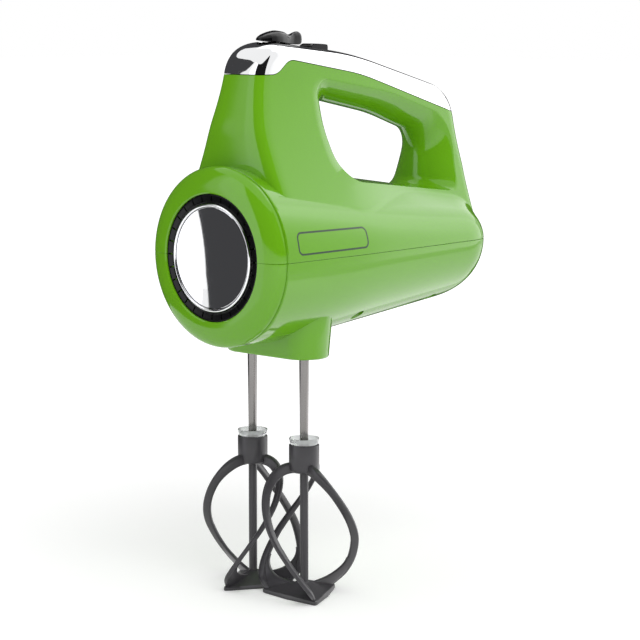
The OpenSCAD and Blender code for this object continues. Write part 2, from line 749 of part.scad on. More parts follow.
// Radial fan that draws air through the motor
module cooling_fan() color(dark) place(fan_at, axis_z) lengthwise() difference() {
    union() {
        cylinder(h = 1.4, r = fan_d / 2);
        cylinder(h = fan_t, r = motor_r + 3);
        for (i = [0 : 11]) rotate([0, 0, 30 * i]) translate([motor_r + 2, -2, 1])
            rotate([0, 0, 8]) cube([fan_d / 2 - motor_r - 4, 1.2, fan_t - 1]);
    }
    translate([0, 0, -1]) cylinder(h = fan_t + 2, r = motor_r);
}

window_in = stack_bore_r + 0.2;
window_w = 5;
window_h = 8;

module coil_windows(gap) for (x = [-1, 1], z = [-1, 1])
    translate([x * (window_in + window_w / 2), z * (window_h / 2 + 1.4)])
        square([window_w + gap, window_h + gap], center = true);

// Laminated stator with four windows for the field coils
module stator() color(steel) place(stack_d, axis_z) lengthwise() linear_extrude(stack_l)
    difference() {
        square([stack_w, stack_h], center = true);
        circle(r = stack_bore_r);
        coil_windows(0.3);
        for (x = [-1, 1], z = [-1, 1]) translate([x * stack_w / 2, z * stack_h / 2]) rotate(45)
            square(12, center = true);
    }

// Two field coils: straight sides through the stack, joined by arcs beyond each end
module field_coils() color(copper) place(stack_d, axis_z) lengthwise() for (s = [0, 180]) rotate([0, 0, s]) {
    translate([0, 0, -winding_l]) linear_extrude(stack_l + 2 * winding_l) intersection() {
        coil_windows(0);
        translate([-50, 0]) square([100, 50]);
    }
    for (z = [0.4 - winding_l, stack_l + 0.4]) translate([0, 0, z]) rotate([0, 0, 15])
        rotate_extrude(angle = 150) translate([window_in + 0.5, 0]) square([window_w - 0.7, winding_l - 0.8]);
}

// Bracket on four stand-offs that holds the shaft's rear bearing
module motor_bracket() color(dark) difference() {
    union() {
        place(bracket_d, axis_z) lengthwise() rounded_block(46, 38, bracket_t, 6);
        for (x = [-1, 1], z = [-1, 1]) place(stack_d + stack_l + fit_gap, axis_z + z * 16, x * 19)
            lengthwise() cylinder(h = bracket_d - stack_d - stack_l, r = 2.6);
    }
    axial(bracket_d - 1, 20, bearing_r + fit_gap / 2);
}

// Flanged sintered bearing centred on depth d in a wall t thick
module shaft_bearing(d, t) color("#8a6a3c") place(d - t / 2 - 1.6, axis_z) lengthwise() difference() {
    union() {
        cylinder(h = t + 3.4, r = bearing_r);
        cylinder(h = 1.4, r = flange_r);
    }
    translate([0, 0, -1]) cylinder(h = t + 9, r = motor_r + run_gap);
}

module front_bearing() shaft_bearing(front_rib_d, rib_t);
module middle_bearing() shaft_bearing(middle_rib_d, rib_t);
module rear_bearing() shaft_bearing(bracket_d + bracket_t / 2, bracket_t);

// Carbon brushes, one on each side of the commutator
module brushes() color("#303030") for (s = [-1, 1])
    place(commutator_d + 2.5, axis_z - brush_w / 2, s > 0 ? commutator_r + 0.15 : -commutator_r - 0.15 - brush_l)
        cube([brush_l, brush_w, brush_w]);

// Brass guides of the brushes, on arms from the bracket
module brush_holders() color("#b59a4a") for (s = [-1, 1]) scale([s, 1, 1]) difference() {
    union() {
        place(commutator_d + 1, axis_z - brush_w / 2 - 1.5, commutator_r + 3) cube([12, brush_w + 3, brush_w + 3]);
        place(commutator_d + 8, axis_z - 3, commutator_r + 6) cube([6, bracket_d - commutator_d - 8 - fit_gap, 6]);
    }
    place(commutator_d + 2.5 - 0.1, axis_z - brush_w / 2 - 0.1, commutator_r)
        cube([brush_l + 2, brush_w + 0.2, brush_w + 0.2]);
}

// ---------- Gear train ----------

// Plate over the worm wheels that steadies the tops of the spindles
module gear_plate() color(steel) place(beater_d, plate_z) linear_extrude(plate_t) difference() {
    union() {
        square([beater_gap, 9], center = true);
        for (s = [-1, 1]) {
            translate([s * beater_gap / 2, 0]) circle(r = spindle_r + 4);
            hull() {
                translate([s * beater_gap / 2, 0]) circle(r = 4);
                translate([s * post_x, post_d - beater_d]) circle(r = post_r - 0.3);
            }
        }
    }
    for (s = [-1, 1]) {
        translate([s * beater_gap / 2, 0]) circle(r = spindle_r + run_gap);
        translate([s * post_x, post_d - beater_d]) circle(r = 1.4);
    }
    circle(r = rod_r + 0.6);
}

// Sintered bushes in the floor of the boss
module spindle_bushes() color("#8a6a3c") for (s = [-1, 1])
    place(beater_d, boss_z + 0.2, s * beater_gap / 2) difference() {
        cylinder(h = 7, r = bush_r);
        translate([0, 0, -1]) cylinder(h = 9, r = spindle_r + run_gap);
    }

ear_w = 1.2;
ear_r = 4;
ear_h = 4;

// Hollow spindle: a beater shaft plugs in from below and its two ears engage the slots
module spindle(s) color(steel) place(beater_d, 0, s * beater_gap / 2) difference() {
    union() {
        translate([0, 0, boss_z + 0.5]) cylinder(h = plate_z + plate_t + 1 - boss_z - 0.5, r = spindle_r);
        translate([0, 0, boss_z + 7.4]) cylinder(h = 1.4, r = spindle_r + 1.7);
    }
    translate([0, 0, boss_z - 1]) cylinder(h = 100, r = spindle_bore_r);
    translate([-ear_r - 0.2, -ear_w / 2 - 0.2, boss_z - 1]) cube([2 * ear_r + 0.4, ear_w + 0.4, ear_h + 4]);
}

module left_spindle() spindle(-1);
module right_spindle() spindle(1);

// Worm wheel, turned so that a gap faces the worm's ridge on side s
module worm_wheel(s) color("#e8e4d8") place(beater_d, axis_z - wheel_t / 2, s * beater_gap / 2)
    rotate([0, 0, (s > 0 ? 180 : 0) + wheel_phase(s)]) linear_extrude(wheel_t) difference() {
        union() {
            circle(r = wheel_pitch_r - 1.1);
            for (i = [0 : wheel_teeth - 1]) rotate(360 * i / wheel_teeth)
                polygon([[wheel_pitch_r - 1.6, -0.75], [wheel_tip_r, -0.42],
                         [wheel_tip_r, 0.42], [wheel_pitch_r - 1.6, 0.75]]);
        }
        circle(r = spindle_r);
        for (i = [0 : 5]) rotate(60 * i) translate([9.2, 0]) circle(r = 2);
    }

// Half a tooth on the side where the ridge lies opposite the wheel's centre
function wheel_phase(s) = s > 0 ? 0 : 180 / wheel_teeth;

module left_worm_wheel() worm_wheel(-1);
module right_worm_wheel() worm_wheel(1);

// ---------- Beater ejector ----------

eject_spring_l = 16;

// Push rod under the speed selector, with a yoke that pushes both beater shafts out
module eject_plunger() color(dark) place(beater_d) {
    translate([0, 0, yoke_z]) linear_extrude(yoke_t) {
        square([beater_gap, 7], center = true);
        for (s = [-1, 1]) translate([s * beater_gap / 2, 0]) circle(r = 4);
        circle(r = 5.5);
    }
    for (s = [-1, 1]) translate([s * beater_gap / 2, 0, shaft_top_z + 0.5])
        cylinder(h = yoke_z - shaft_top_z, r = shaft_r - 0.35);
    translate([0, 0, yoke_z + 1]) cylinder(h = rod_top_z - yoke_z - 1, r = rod_r);
    translate([0, 0, guide_z + 3 + eject_spring_l]) cylinder(h = 2, r = rod_r + 2.2);
}

module eject_spring() color(steel) place(beater_d, guide_z + 3.1) coil(rod_r + 1.2, spring_wire, 5, eject_spring_l - 0.2);

// ---------- Beaters ----------

shaft_low_r = shaft_r * 0.83;
collar_h = 3.4;

// Steel shaft with the two ears that the spindle drives
module beater_shaft(s) color(steel) place(beater_d, 0, s * beater_gap / 2) {
    translate([0, 0, hub_z + 1]) cylinder(h = boss_z - 3 - hub_z - 1, r1 = shaft_low_r, r2 = shaft_r);
    translate([0, 0, boss_z - 3]) cylinder(h = shaft_top_z - boss_z + 3, r = shaft_r);
    translate([-ear_r, -ear_w / 2, boss_z + 1]) cube([2 * ear_r, ear_w, ear_h]);
}

module left_beater_shaft() beater_shaft(-1);
module right_beater_shaft() beater_shaft(1);

cage_mid_z = 31;

// Radius of the cage at height z: an egg that closes towards the hub and towards the foot
function cage_at(z) = cage_r * pow(max(0.001, z > cage_mid_z
    ? 1 - pow((z - cage_mid_z) / (hub_z - cage_mid_z), 1.41)
    : 1 - pow((cage_mid_z - z) / (cage_mid_z + 3), 3.65)), 0.3);

blade_steps = 14;
blade_top_z = hub_z - 0.1;
blade_start = 221;

foot_r = 23.5;

// Turn of a blade at share t of its way down; the left beater mirrors the right, half a pitch on
function blade_angle(t, s) = s > 0 ? blade_start + blade_twist * t : 120 - blade_start - blade_twist * t;

// Thin slice of a blade at share t of its way down, square to the egg's outline
module blade_slice(t, s) {
    z = mix(blade_top_z, 1.6, t);
    slope = atan((cage_at(z + 0.2) - cage_at(z - 0.2)) / 0.4);
    rotate([0, 0, blade_angle(t, s)]) translate([max(cage_at(z), 5), 0, z]) rotate([0, slope, 0])
            translate([-blade_w, -blade_t / 2, 0]) cube([blade_w, blade_t, 0.3]);
}

// Kite-shaped foot below a blade, rising to the rod in the middle
module blade_foot() hull() {
    translate([0, 0, 2.5]) cylinder(h = 6, r = core_d / 2 - 0.5, $fn = 8);
    for (a = [-64, 64]) rotate([0, 0, a]) translate([foot_r * 0.56, 0, 0.4]) cylinder(h = 0.8, r = 0.4, $fn = 8);
    translate([foot_r - 0.6, 0, 0]) cylinder(h = 2.6, r = 0.6, $fn = 8);
}

// Moulded cage: hub, middle rod and three twisted blades that end in pointed feet
module whisk(s) color(dark) place(beater_d, 0, s * beater_gap / 2) difference() {
    union() {
        translate([0, 0, hub_z]) cylinder(h = hub_h, r = hub_d / 2, $fn = 36);
        translate([0, 0, hub_z - 4]) cylinder(h = 4.1, r1 = 3, r2 = hub_d / 2 - 0.6, $fn = 24);
        translate([0, 0, 2]) cylinder(h = hub_z - 1, r = core_d / 2, $fn = 16);
        for (k = [0 : 2]) rotate([0, 0, 120 * k]) {
            for (i = [0 : blade_steps - 1]) hull() {
                blade_slice(pow(i / blade_steps, 1.6), s);
                blade_slice(pow((i + 1) / blade_steps, 1.6), s);
            }
            rotate([0, 0, blade_angle(1, s)]) blade_foot();
        }
    }
    translate([0, 0, hub_z + 0.9])
        cylinder(h = hub_h + 5, r1 = shaft_low_r + 0.06, r2 = shaft_low_r + 0.35, $fn = 24);
}

module left_whisk() whisk(-1);
module right_whisk() whisk(1);

// Clear flared collar that keeps batter off the shaft
module collar(s) color("#c8ccd0") place(beater_d, hub_z + hub_h + 0.1, s * beater_gap / 2)
    rotate_extrude() polygon([[shaft_low_r + 0.35, 0], [hub_d / 2 - 0.8, 0], [hub_d / 2 + 0.1, collar_h],
        [hub_d / 2 - 0.8, collar_h], [hub_d / 2 - 1.7, 1.1], [shaft_low_r + 0.35, 1.1]]);

module left_collar() collar(-1);
module right_collar() collar(1);

upper_housing();
lower_housing();
handle_shell();
handle_cap();
vent_ring();
badge_ring();
badge_disc();
speed_selector();
turbo_button();
turbo_spring();
switch_block();
cord_bush();
heel_plate();
housing_screws();
motor_shaft();
worm();
armature();
windings();
commutator();
cooling_fan();
stator();
field_coils();
motor_bracket();
front_bearing();
middle_bearing();
rear_bearing();
brushes();
brush_holders();
gear_plate();
spindle_bushes();
left_spindle();
right_spindle();
left_worm_wheel();
right_worm_wheel();
eject_plunger();
eject_spring();
left_beater_shaft();
right_beater_shaft();
left_whisk();
right_whisk();
left_collar();
right_collar();
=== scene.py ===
import math
import bpy
import numpy as np
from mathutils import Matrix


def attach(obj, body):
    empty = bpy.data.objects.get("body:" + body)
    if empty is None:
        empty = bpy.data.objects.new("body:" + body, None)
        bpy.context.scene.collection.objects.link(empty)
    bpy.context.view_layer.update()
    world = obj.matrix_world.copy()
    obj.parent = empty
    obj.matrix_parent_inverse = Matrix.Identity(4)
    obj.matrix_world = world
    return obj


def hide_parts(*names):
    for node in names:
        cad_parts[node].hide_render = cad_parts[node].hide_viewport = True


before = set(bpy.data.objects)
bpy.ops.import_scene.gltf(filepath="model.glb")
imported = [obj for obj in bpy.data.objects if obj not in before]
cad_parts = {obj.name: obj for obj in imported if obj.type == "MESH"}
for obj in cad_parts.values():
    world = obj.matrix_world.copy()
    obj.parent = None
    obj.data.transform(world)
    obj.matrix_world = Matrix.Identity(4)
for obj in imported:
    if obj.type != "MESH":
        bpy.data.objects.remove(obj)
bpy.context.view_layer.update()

# ---------------------------------------------------------------- Lower housing
# The belly of the mixer: one glossy moulding, 2.4 mm thick, with the chin boss that holds the
# spindle bushes. It meets the upper housing on the motor's axis, with softened edges at the line.

AXIS = 187.5       # height of the motor's axis over the beater tips, all lengths in millimetres
BODY_L = 190.0
WALL = 2.4
HEAD_R = 48.0
RECESS_R = 34.0
BEZEL_D = 7.5
HEEL_D = 161.0
HEEL_L = 28.0
HEEL_POWER = 3.2
BEATER_X = 19.5
BEATER_D = 51.0


def smooth01(t):
    """Zero below 0, one above 1, and 3t^2 - 2t^3 between."""
    t = np.clip(t, 0.0, 1.0)
    return t * t * (3 - 2 * t)


def full_turn(n):
    """n angles spread evenly over a full turn."""
    return np.linspace(0, 2 * math.pi, n, endpoint=False)


def soft_excess(t):
    """Nothing for values well below zero, the value itself well above: (t + sqrt(t^2 + 15^2)) / 2."""
    return (t + np.sqrt(t * t + 15.0 * 15.0)) / 2


def barrel_axes(d):
    """Half-width, height above and depth below the axis of the barrel at depth d behind the nose.

    The sides close by 0.054 per mm behind depth 75, the top falls by 0.13 from the bezel on, and
    the belly rises by 0.1 behind depth 50."""
    above = HEAD_R - 0.13 * (d - BEZEL_D)
    return 48.5 - 0.054 * soft_excess(d - 75), above, HEAD_R - 0.1 * soft_excess(d - 50)


def barrel_rows(t):
    """Rows (depth, half-width, height above, depth below) from the heel's pole to the nose.

    The heel is a superellipse, the sides run along barrel_axes, and the bezel is a quarter ellipse
    between the head's radius and the recess. Everything is moved inwards by t, the width less near
    the pole. The outer skin also has the fine groove behind the bezel."""
    pole = 0.2
    a = np.radians(np.concatenate([[89.93, 89.5, 88.8, 88], np.linspace(87, 0, 46)]))
    d = HEEL_D + (HEEL_L - t) * np.sin(a) ** (2 / HEEL_POWER)
    w, up, dn = barrel_axes(d)
    s = np.cos(a) ** (2 / HEEL_POWER)
    rows = [np.stack([d, w * s - t * (s > pole) - t * s * (s <= pole) * 5, up * s - t, dn * s - t], 1)]
    d = np.linspace(160, 9.4, 110)
    w, up, dn = barrel_axes(d)
    rows.append(np.stack([d, w - t, up - t, dn - t], 1))
    if t == 0:
        groove = np.array([[9.1, 47.85], [8.9, 47.6], [8.75, 47.1], [8.2, 46.95],
                           [7.75, 47.1], [7.6, 47.5], [7.45, 47.8]])
        d, r = groove.T
        rows.append(np.stack([d, r + 0.3, r, r], 1))
        a = np.radians(np.linspace(84, 0, 30))
        d = BEZEL_D * (1 - np.cos(a))
        r = RECESS_R + (HEAD_R - RECESS_R) * np.sin(a)
        rows.append(np.stack([d, r, r, r], 1))
    rows = np.concatenate(rows)
    rows[:, 1:] = np.maximum(rows[:, 1:], 0.4)
    return rows


def mesh_object(name, verts, faces, material=None):
    """Object at the origin from points in millimetres and a list of faces.

    The faces are turned round if their signed volume, the sum of a . (b x c) / 6, is negative."""
    verts = np.asarray(verts, dtype=np.float64) / 1000
    faces = [list(f) for f in faces]
    fans = np.array([(f[0], f[k], f[k + 1]) for f in faces for k in range(1, len(f) - 1)])
    a, b, c = verts[fans[:, 0]], verts[fans[:, 1]], verts[fans[:, 2]]
    if (a * np.cross(b, c)).sum() < -1e-12:
        faces = [f[::-1] for f in faces]
    mesh = bpy.data.meshes.new(name)
    mesh.from_pydata(verts.tolist(), [], faces)
    mesh.validate()
    mesh.update()
    obj = bpy.data.objects.new(name, mesh)
    bpy.context.scene.collection.objects.link(obj)
    if material is not None:
        mesh.materials.append(material)
    return obj


def grid_faces(n, m, close_m=True):
    """Quads between n rows of m points; the rows may close on themselves."""
    i, j = np.meshgrid(np.arange(n - 1), np.arange(m if close_m else m - 1), indexing="ij")
    a = i * m + j
    b = i * m + (j + 1) % m
    return np.stack([a, b, b + m, a + m], -1).reshape(-1, 4)


def loft(name, grid):
    """Closed solid from a grid of rings (rows, points round, 3), with its ends filled."""
    n, m = grid.shape[:2]
    faces = grid_faces(n, m).tolist() + [list(range(m))[::-1], list(range((n - 1) * m, n * m))]
    return mesh_object(name, grid.reshape(-1, 3), faces)


def closed_loop(name, grid):
    """Solid like a ring from a grid of rows whose last row meets the first."""
    n, m = grid.shape[:2]
    return mesh_object(name, grid.reshape(-1, 3), grid_faces(n + 1, m) % (n * m))


def combine(obj, other, how):
    """Boolean of two closed solids: UNION, DIFFERENCE or INTERSECT. The second one is used up."""
    mod = obj.modifiers.new("solid", "BOOLEAN")
    mod.object = other
    mod.operation = how
    mod.solver = "MANIFOLD"
    bpy.context.view_layer.update()
    made = bpy.data.meshes.new_from_object(obj.evaluated_get(bpy.context.evaluated_depsgraph_get()))
    obj.modifiers.clear()
    obj.data = made
    bpy.data.objects.remove(other)


def barrel_half(name, rows, side, gap=0.06, edge=0.35):
    """Half of the barrel as a solid with a flat face on the parting plane.

    Each ring is half an ellipse, x = w cos a and z = gap + (h - gap) sin a. Near the plane it turns
    in by edge - sqrt(edge^2 - (edge - s)^2), s being the distance to the plane."""
    s = np.array([0.0, 0.05, 0.13, 0.25, edge])
    ease = edge - np.sqrt(np.maximum(edge ** 2 - (edge - s) ** 2, 0))
    if edge == 0:
        s, ease = np.zeros(1), np.zeros(1)
    grid = []
    mid = np.linspace(0, math.pi, 97)[1:-1]
    for d, w, up, dn in rows:
        h = max(up if side > 0 else dn, gap + 0.3)
        low = np.minimum(s / h, 0.02)
        a = np.concatenate([low, mid, math.pi - low[::-1]])
        e = np.concatenate([ease, np.zeros(len(mid)), ease[::-1]]) * min(1, w / 5)
        x = (w - e) * np.cos(a)
        z = gap + (h - gap) * np.sin(a)
        flat = np.linspace(x[-1], x[0], 10)[1:-1]
        x = np.concatenate([x, flat])
        z = np.concatenate([z, np.full(8, gap)])
        grid.append(np.stack([x, np.full(len(x), d - BODY_L / 2), AXIS + side * z], 1))
    return loft(name, np.array(grid))


THIN = 0.02        # least radius of a turned solid, so that its ends are small discs and not points


def turned_level(name, outline, n=128, height=AXIS):
    """Solid of an outline (depth, radius) turned about a level axis, the motor's unless told."""
    a = full_turn(n)
    grid = []
    for d, r in outline:
        r = max(r, THIN)
        grid.append(np.stack([r * np.cos(a), np.full(n, d - BODY_L / 2), height + r * np.sin(a)], 1))
    return loft(name, np.array(grid))


def turned_upright(name, outline, x, d, n=48):
    """Solid of an outline (height, radius) turned about an upright axis at x and depth d."""
    a = full_turn(n)
    grid = []
    for z, r in outline:
        r = max(r, THIN)
        grid.append(np.stack([x + r * np.cos(a), d - BODY_L / 2 + r * np.sin(a), np.full(n, z)], 1))
    return loft(name, np.array(grid))


def boss_grid(t, levels):
    """Stadium rings round the two shafts: a circle of radius r round each end, at heights z."""
    rings = []
    for z, r in levels:
        a = np.radians(np.linspace(-90, 90, 49))
        half = np.stack([BEATER_X + (r - t) * np.cos(a), (r - t) * np.sin(a)], 1)
        ring = np.concatenate([half, -half])
        place = ring[:, 1] + BEATER_D - BODY_L / 2
        rings.append(np.column_stack([ring[:, 0], place, np.full(len(ring), z)]))
    return np.array(rings)


def cut_recess(shell):
    """Cut the seat of the vent ring, its deeper well and a fine bevel at its lip into a shell's nose."""
    seat_r, well_r = RECESS_R - 0.1, 30.95
    for outline in ([(2.5, seat_r), (-2, seat_r)], [(12, well_r), (-2, well_r)], [(0.7, 33.8), (-1, 35.6)]):
        combine(shell, turned_level("recess", outline), "DIFFERENCE")


BOSS_Z = 131.5
SCREWS = ((28, 84), (22, 152))
SCREW_HEAD_R = 3.7
LOUVRES, LOUVRE_PITCH, LOUVRE_R, LOUVRE_HALF_L, LOUVRE_D = 9, 5, 1.1, 9, 128
lower = barrel_half("lower_shell", barrel_rows(0), -1)
boss_levels = [(BOSS_Z, 12.3), (131.7, 12.8), (132.1, 13.15), (132.7, 13.4), (153.0, 15.2), (160.0, 15.8)]
combine(lower, loft("boss", boss_grid(0, boss_levels)), "UNION")
combine(lower, loft("hollow", boss_grid(WALL, [(BOSS_Z + 3, 13.6), (162.0, 15.8)])), "DIFFERENCE")
combine(lower, barrel_half("hollow", barrel_rows(WALL)[:-1], -1, gap=-3, edge=0), "DIFFERENCE")
cut_recess(lower)
for side in (-1, 1):
    seat = turned_upright("seat", [(129, 6.65), (136, 6.65)], side * BEATER_X, BEATER_D)
    combine(lower, seat, "DIFFERENCE")
    for x, d in SCREWS:
        hole = [(120, SCREW_HEAD_R), (AXIS - 24, SCREW_HEAD_R)]
        combine(lower, turned_upright("screw_hole", hole, side * x, d), "DIFFERENCE")
for i in range(LOUVRES):
    a = full_turn(24)
    across = LOUVRE_PITCH * (i - LOUVRES // 2) + LOUVRE_R * np.cos(a)
    along = LOUVRE_D - BODY_L / 2 + LOUVRE_HALF_L * np.sign(np.sin(a)) + LOUVRE_R * np.sin(a)
    louvre = np.array([np.column_stack([across, along, np.full(24, z)]) for z in (120, 165)])
    combine(lower, loft("louvre", louvre), "DIFFERENCE")


PLATE_W, PLATE_H, PLATE_R, PLATE_Z = 44.0, 20.0, 6, AXIS - 13


def heel_block(name, grow, d0, d1, bevel):
    """Rounded upright rectangle of the heel plate from depth d0 to d1, wider and higher by grow.

    Its rear edge is rounded by bevel."""
    w, h, r = PLATE_W + grow, PLATE_H + grow, PLATE_R
    a = np.linspace(0, math.pi / 2, 9)
    rings = [(d0, 0.0)]
    for t in a if bevel else a[:1]:
        rings.append((d1 - bevel + bevel * math.sin(t), bevel * (1 - math.cos(t))))
    quarters = ((1, 1, 0), (-1, 1, math.pi / 2), (-1, -1, math.pi), (1, -1, 1.5 * math.pi))
    grid = []
    for d, t in rings:
        x = np.concatenate([sx * (w / 2 - r) + (r - t) * np.cos(a + turn) for sx, _, turn in quarters])
        z = np.concatenate([sz * (h / 2 - r) + (r - t) * np.sin(a + turn) for _, sz, turn in quarters])
        grid.append(np.stack([x, np.full(len(x), d - BODY_L / 2), PLATE_Z + z], 1))
    return loft(name, np.array(grid))


combine(lower, heel_block("pocket", 0.6, 184.85, 200, 0), "DIFFERENCE")


def finish_shell(obj, material, body, *nodes, angle=32):
    """Smooth faces that meet at less than an angle, then the finish, the body and what it stands for."""
    mesh = obj.data
    mesh.materials.clear()
    mesh.materials.append(material)
    mesh.polygons.foreach_set("use_smooth", np.ones(len(mesh.polygons), dtype=bool))
    mesh.polygons.foreach_set("material_index", np.zeros(len(mesh.polygons), dtype=np.int32))
    mesh.set_sharp_from_angle(angle=math.radians(angle))
    mesh.update()
    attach(obj, body)
    if nodes:
        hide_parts(*nodes)


def math_node(tree, how, a, b):
    """Output of one arithmetic node on two sockets or numbers."""
    node = tree.nodes.new("ShaderNodeMath")
    node.operation = how
    for k, value in enumerate((a, b)):
        if isinstance(value, (int, float)):
            node.inputs[k].default_value = value
        else:
            tree.links.new(value, node.inputs[k])
    return node.outputs[0]


def surface_play_group():
    """Node group on the piece's own coordinates: slow clouds and a fine grain, which may be stretched.

    Color is the given one times 1 - Shade x cloud, Roughness is Rough + Play x (cloud - 0.5), and
    Height is the grain."""
    group = bpy.data.node_groups.new("surface_play", "ShaderNodeTree")
    for name, kind in (("Color", "Color"), ("Rough", "Float"), ("Play", "Float"), ("Shade", "Float"),
                       ("Cloud", "Float"), ("Grain", "Float"), ("Stretch", "Vector")):
        group.interface.new_socket(name, in_out="INPUT", socket_type="NodeSocket" + kind)
    for name, kind in (("Color", "Color"), ("Roughness", "Float"), ("Height", "Float")):
        group.interface.new_socket(name, in_out="OUTPUT", socket_type="NodeSocket" + kind)
    nodes, links = group.nodes, group.links
    given, out = nodes.new("NodeGroupInput"), nodes.new("NodeGroupOutput")
    place = nodes.new("ShaderNodeTexCoord")
    drawn = nodes.new("ShaderNodeVectorMath")
    drawn.operation = "MULTIPLY"
    links.new(place.outputs["Object"], drawn.inputs[0])
    links.new(given.outputs["Stretch"], drawn.inputs[1])
    cloud, grain = nodes.new("ShaderNodeTexNoise"), nodes.new("ShaderNodeTexNoise")
    for noise, size, source, detail in ((cloud, "Cloud", place.outputs["Object"], 2),
                                        (grain, "Grain", drawn.outputs[0], 3)):
        noise.inputs["Detail"].default_value = detail
        links.new(source, noise.inputs["Vector"])
        links.new(given.outputs[size], noise.inputs["Scale"])
    centred = math_node(group, "SUBTRACT", cloud.outputs["Fac"], 0.5)
    change = math_node(group, "MULTIPLY", centred, given.outputs["Play"])
    links.new(math_node(group, "ADD", given.outputs["Rough"], change), out.inputs["Roughness"])
    shadow = math_node(group, "MULTIPLY", cloud.outputs["Fac"], given.outputs["Shade"])
    dim = math_node(group, "SUBTRACT", 1.0, shadow)
    scaled = nodes.new("ShaderNodeVectorMath")
    scaled.operation = "SCALE"
    links.new(given.outputs["Color"], scaled.inputs[0])
    links.new(dim, scaled.inputs["Scale"])
    links.new(scaled.outputs[0], out.inputs["Color"])
    links.new(grain.outputs["Fac"], out.inputs["Height"])
    return group


surface_play = surface_play_group()


def finish(name, slot, color, rough, metallic=0.0, play=0.04, shade=0.05, cloud=35.0, grain=400.0,
           relief=0.001, stretch=(1, 1, 1), **more):
    """Principled material driven by surface_play; relief is the height of its grain in millimetres."""
    mat = bpy.data.materials.new(name)
    mat.use_nodes = True
    mat["slot"] = slot
    nodes, links = mat.node_tree.nodes, mat.node_tree.links
    bsdf = nodes["Principled BSDF"]
    bsdf.inputs["Metallic"].default_value = metallic
    for key, value in more.items():
        bsdf.inputs[key.replace("_", " ")].default_value = value
    play_node = nodes.new("ShaderNodeGroup")
    play_node.node_tree = surface_play
    for key, value in (("Color", (*color, 1)), ("Rough", rough), ("Play", play), ("Shade", shade),
                       ("Cloud", cloud), ("Grain", grain), ("Stretch", stretch)):
        play_node.inputs[key].default_value = value
    bump = nodes.new("ShaderNodeBump")
    bump.inputs["Distance"].default_value = relief / 1000
    links.new(play_node.outputs["Color"], bsdf.inputs["Base Color"])
    links.new(play_node.outputs["Roughness"], bsdf.inputs["Roughness"])
    links.new(play_node.outputs["Height"], bump.inputs["Height"])
    links.new(bump.outputs[0], bsdf.inputs["Normal"])
    return mat


green = finish("apple_green_gloss", "green", (0.129, 0.366, 0.008), 0.1, play=0.03, relief=0.0006)
finish_shell(lower, green, "housing", "lower_housing")

# ---------------------------------------------------------------- Upper housing and handle
# Top half of the barrel and the looped handle, moulded as one shell. The grip bulges under the
# hand; its crown is open and takes the chrome cap.

# Corners of the outlines seen from the side: depth, height over the axis, radius.
HOLE_RIM = [(69.5, 38.5, 22), (65, 66, 80), (64.5, 94, 9), (125, 84, 150),
            (177, 68, 22), (175.8, 48, 100), (172.5, 26.3, 8)]
HOLE_MID = [(81, 40.2, 16), (75.5, 66, 74), (75, 81.5, 6), (125, 71.5, 144),
            (163.5, 58.5, 16), (162.3, 48, 94), (161, 28.6, 6)]
CREST = [(15.8, 20, 4), (16.5, 68, 60), (26.5, 114, 20), (101.5, 105.8, 250),
         (183, 84, 24), (188.2, 41, 60), (188.8, 2, 4)]
CAP_LINE = [(-20, 95.5, 1), (35.5, 95.5, 11), (45, 103.3, 9), (101, 94.4, 160),
            (210, 62, 1), (210, 160, 1), (-20, 160, 1)]
CROWN_H = 9.5
CORD_H = AXIS + 11


def inset(corners, b):
    """Corners of a clockwise outline moved inwards by b, each radius less b."""
    c = np.array(corners, dtype=float)
    p, q = np.roll(c, 1, 0)[:, :2], np.roll(c, -1, 0)[:, :2]
    u, v = c[:, :2] - p, q - c[:, :2]
    u /= np.linalg.norm(u, axis=1)[:, None]
    v /= np.linalg.norm(v, axis=1)[:, None]
    n1, n2 = np.stack([u[:, 1], -u[:, 0]], 1), np.stack([v[:, 1], -v[:, 0]], 1)
    out = c[:, :2] + b * (n1 + n2) / (1 + (n1 * n2).sum(1))[:, None]
    return np.column_stack([out, np.maximum(c[:, 2] - b, 2)])


def rounded(corners, steps=22, mids=12):
    """Outline whose corners are arcs of the given radii, with points along the straights."""
    c = np.asarray(corners, dtype=float)
    n, arcs = len(c), []
    for k in range(n):
        p, q, s = c[k - 1][:2], c[k][:2], c[(k + 1) % n][:2]
        a, b = (p - q) / np.linalg.norm(p - q), (s - q) / np.linalg.norm(s - q)
        half = math.acos(a @ b) / 2
        hub = q + (a + b) / np.linalg.norm(a + b) * c[k][2] / math.sin(half)
        u = q + a * c[k][2] / math.tan(half) - hub
        turn = 1 if a[0] * b[1] - a[1] * b[0] > 0 else -1
        t = turn * -(math.pi - 2 * half) * np.arange(steps + 1) / steps
        cos, sin = np.cos(t), np.sin(t)
        arcs.append(hub + np.stack([u[0] * cos - u[1] * sin, u[0] * sin + u[1] * cos], 1))
    out = []
    for k in range(n):
        w = (np.arange(1, mids + 1) / (mids + 1))[:, None]
        out += [arcs[k], arcs[k][-1] * (1 - w) + arcs[(k + 1) % n][0] * w]
    return np.concatenate(out)


def side_width(d, z):
    """Half-width of the handle at depth d and height z: two columns that flare towards the barrel.

    Each is its width at the grip plus a flare times (fall below the grip / reach)^1.6."""
    front = 15 + 15 * np.maximum(0, (AXIS + 95.5 - z) / 53.5) ** 1.6
    rear = 15.5 + 13.5 * np.maximum(0, (AXIS + 74.5 - z) / 59) ** 1.6
    w = smooth01((d - 72) / 78)
    return front * (1 - w) + rear * w


ARC_IN, ARC_OUT = 18, 22


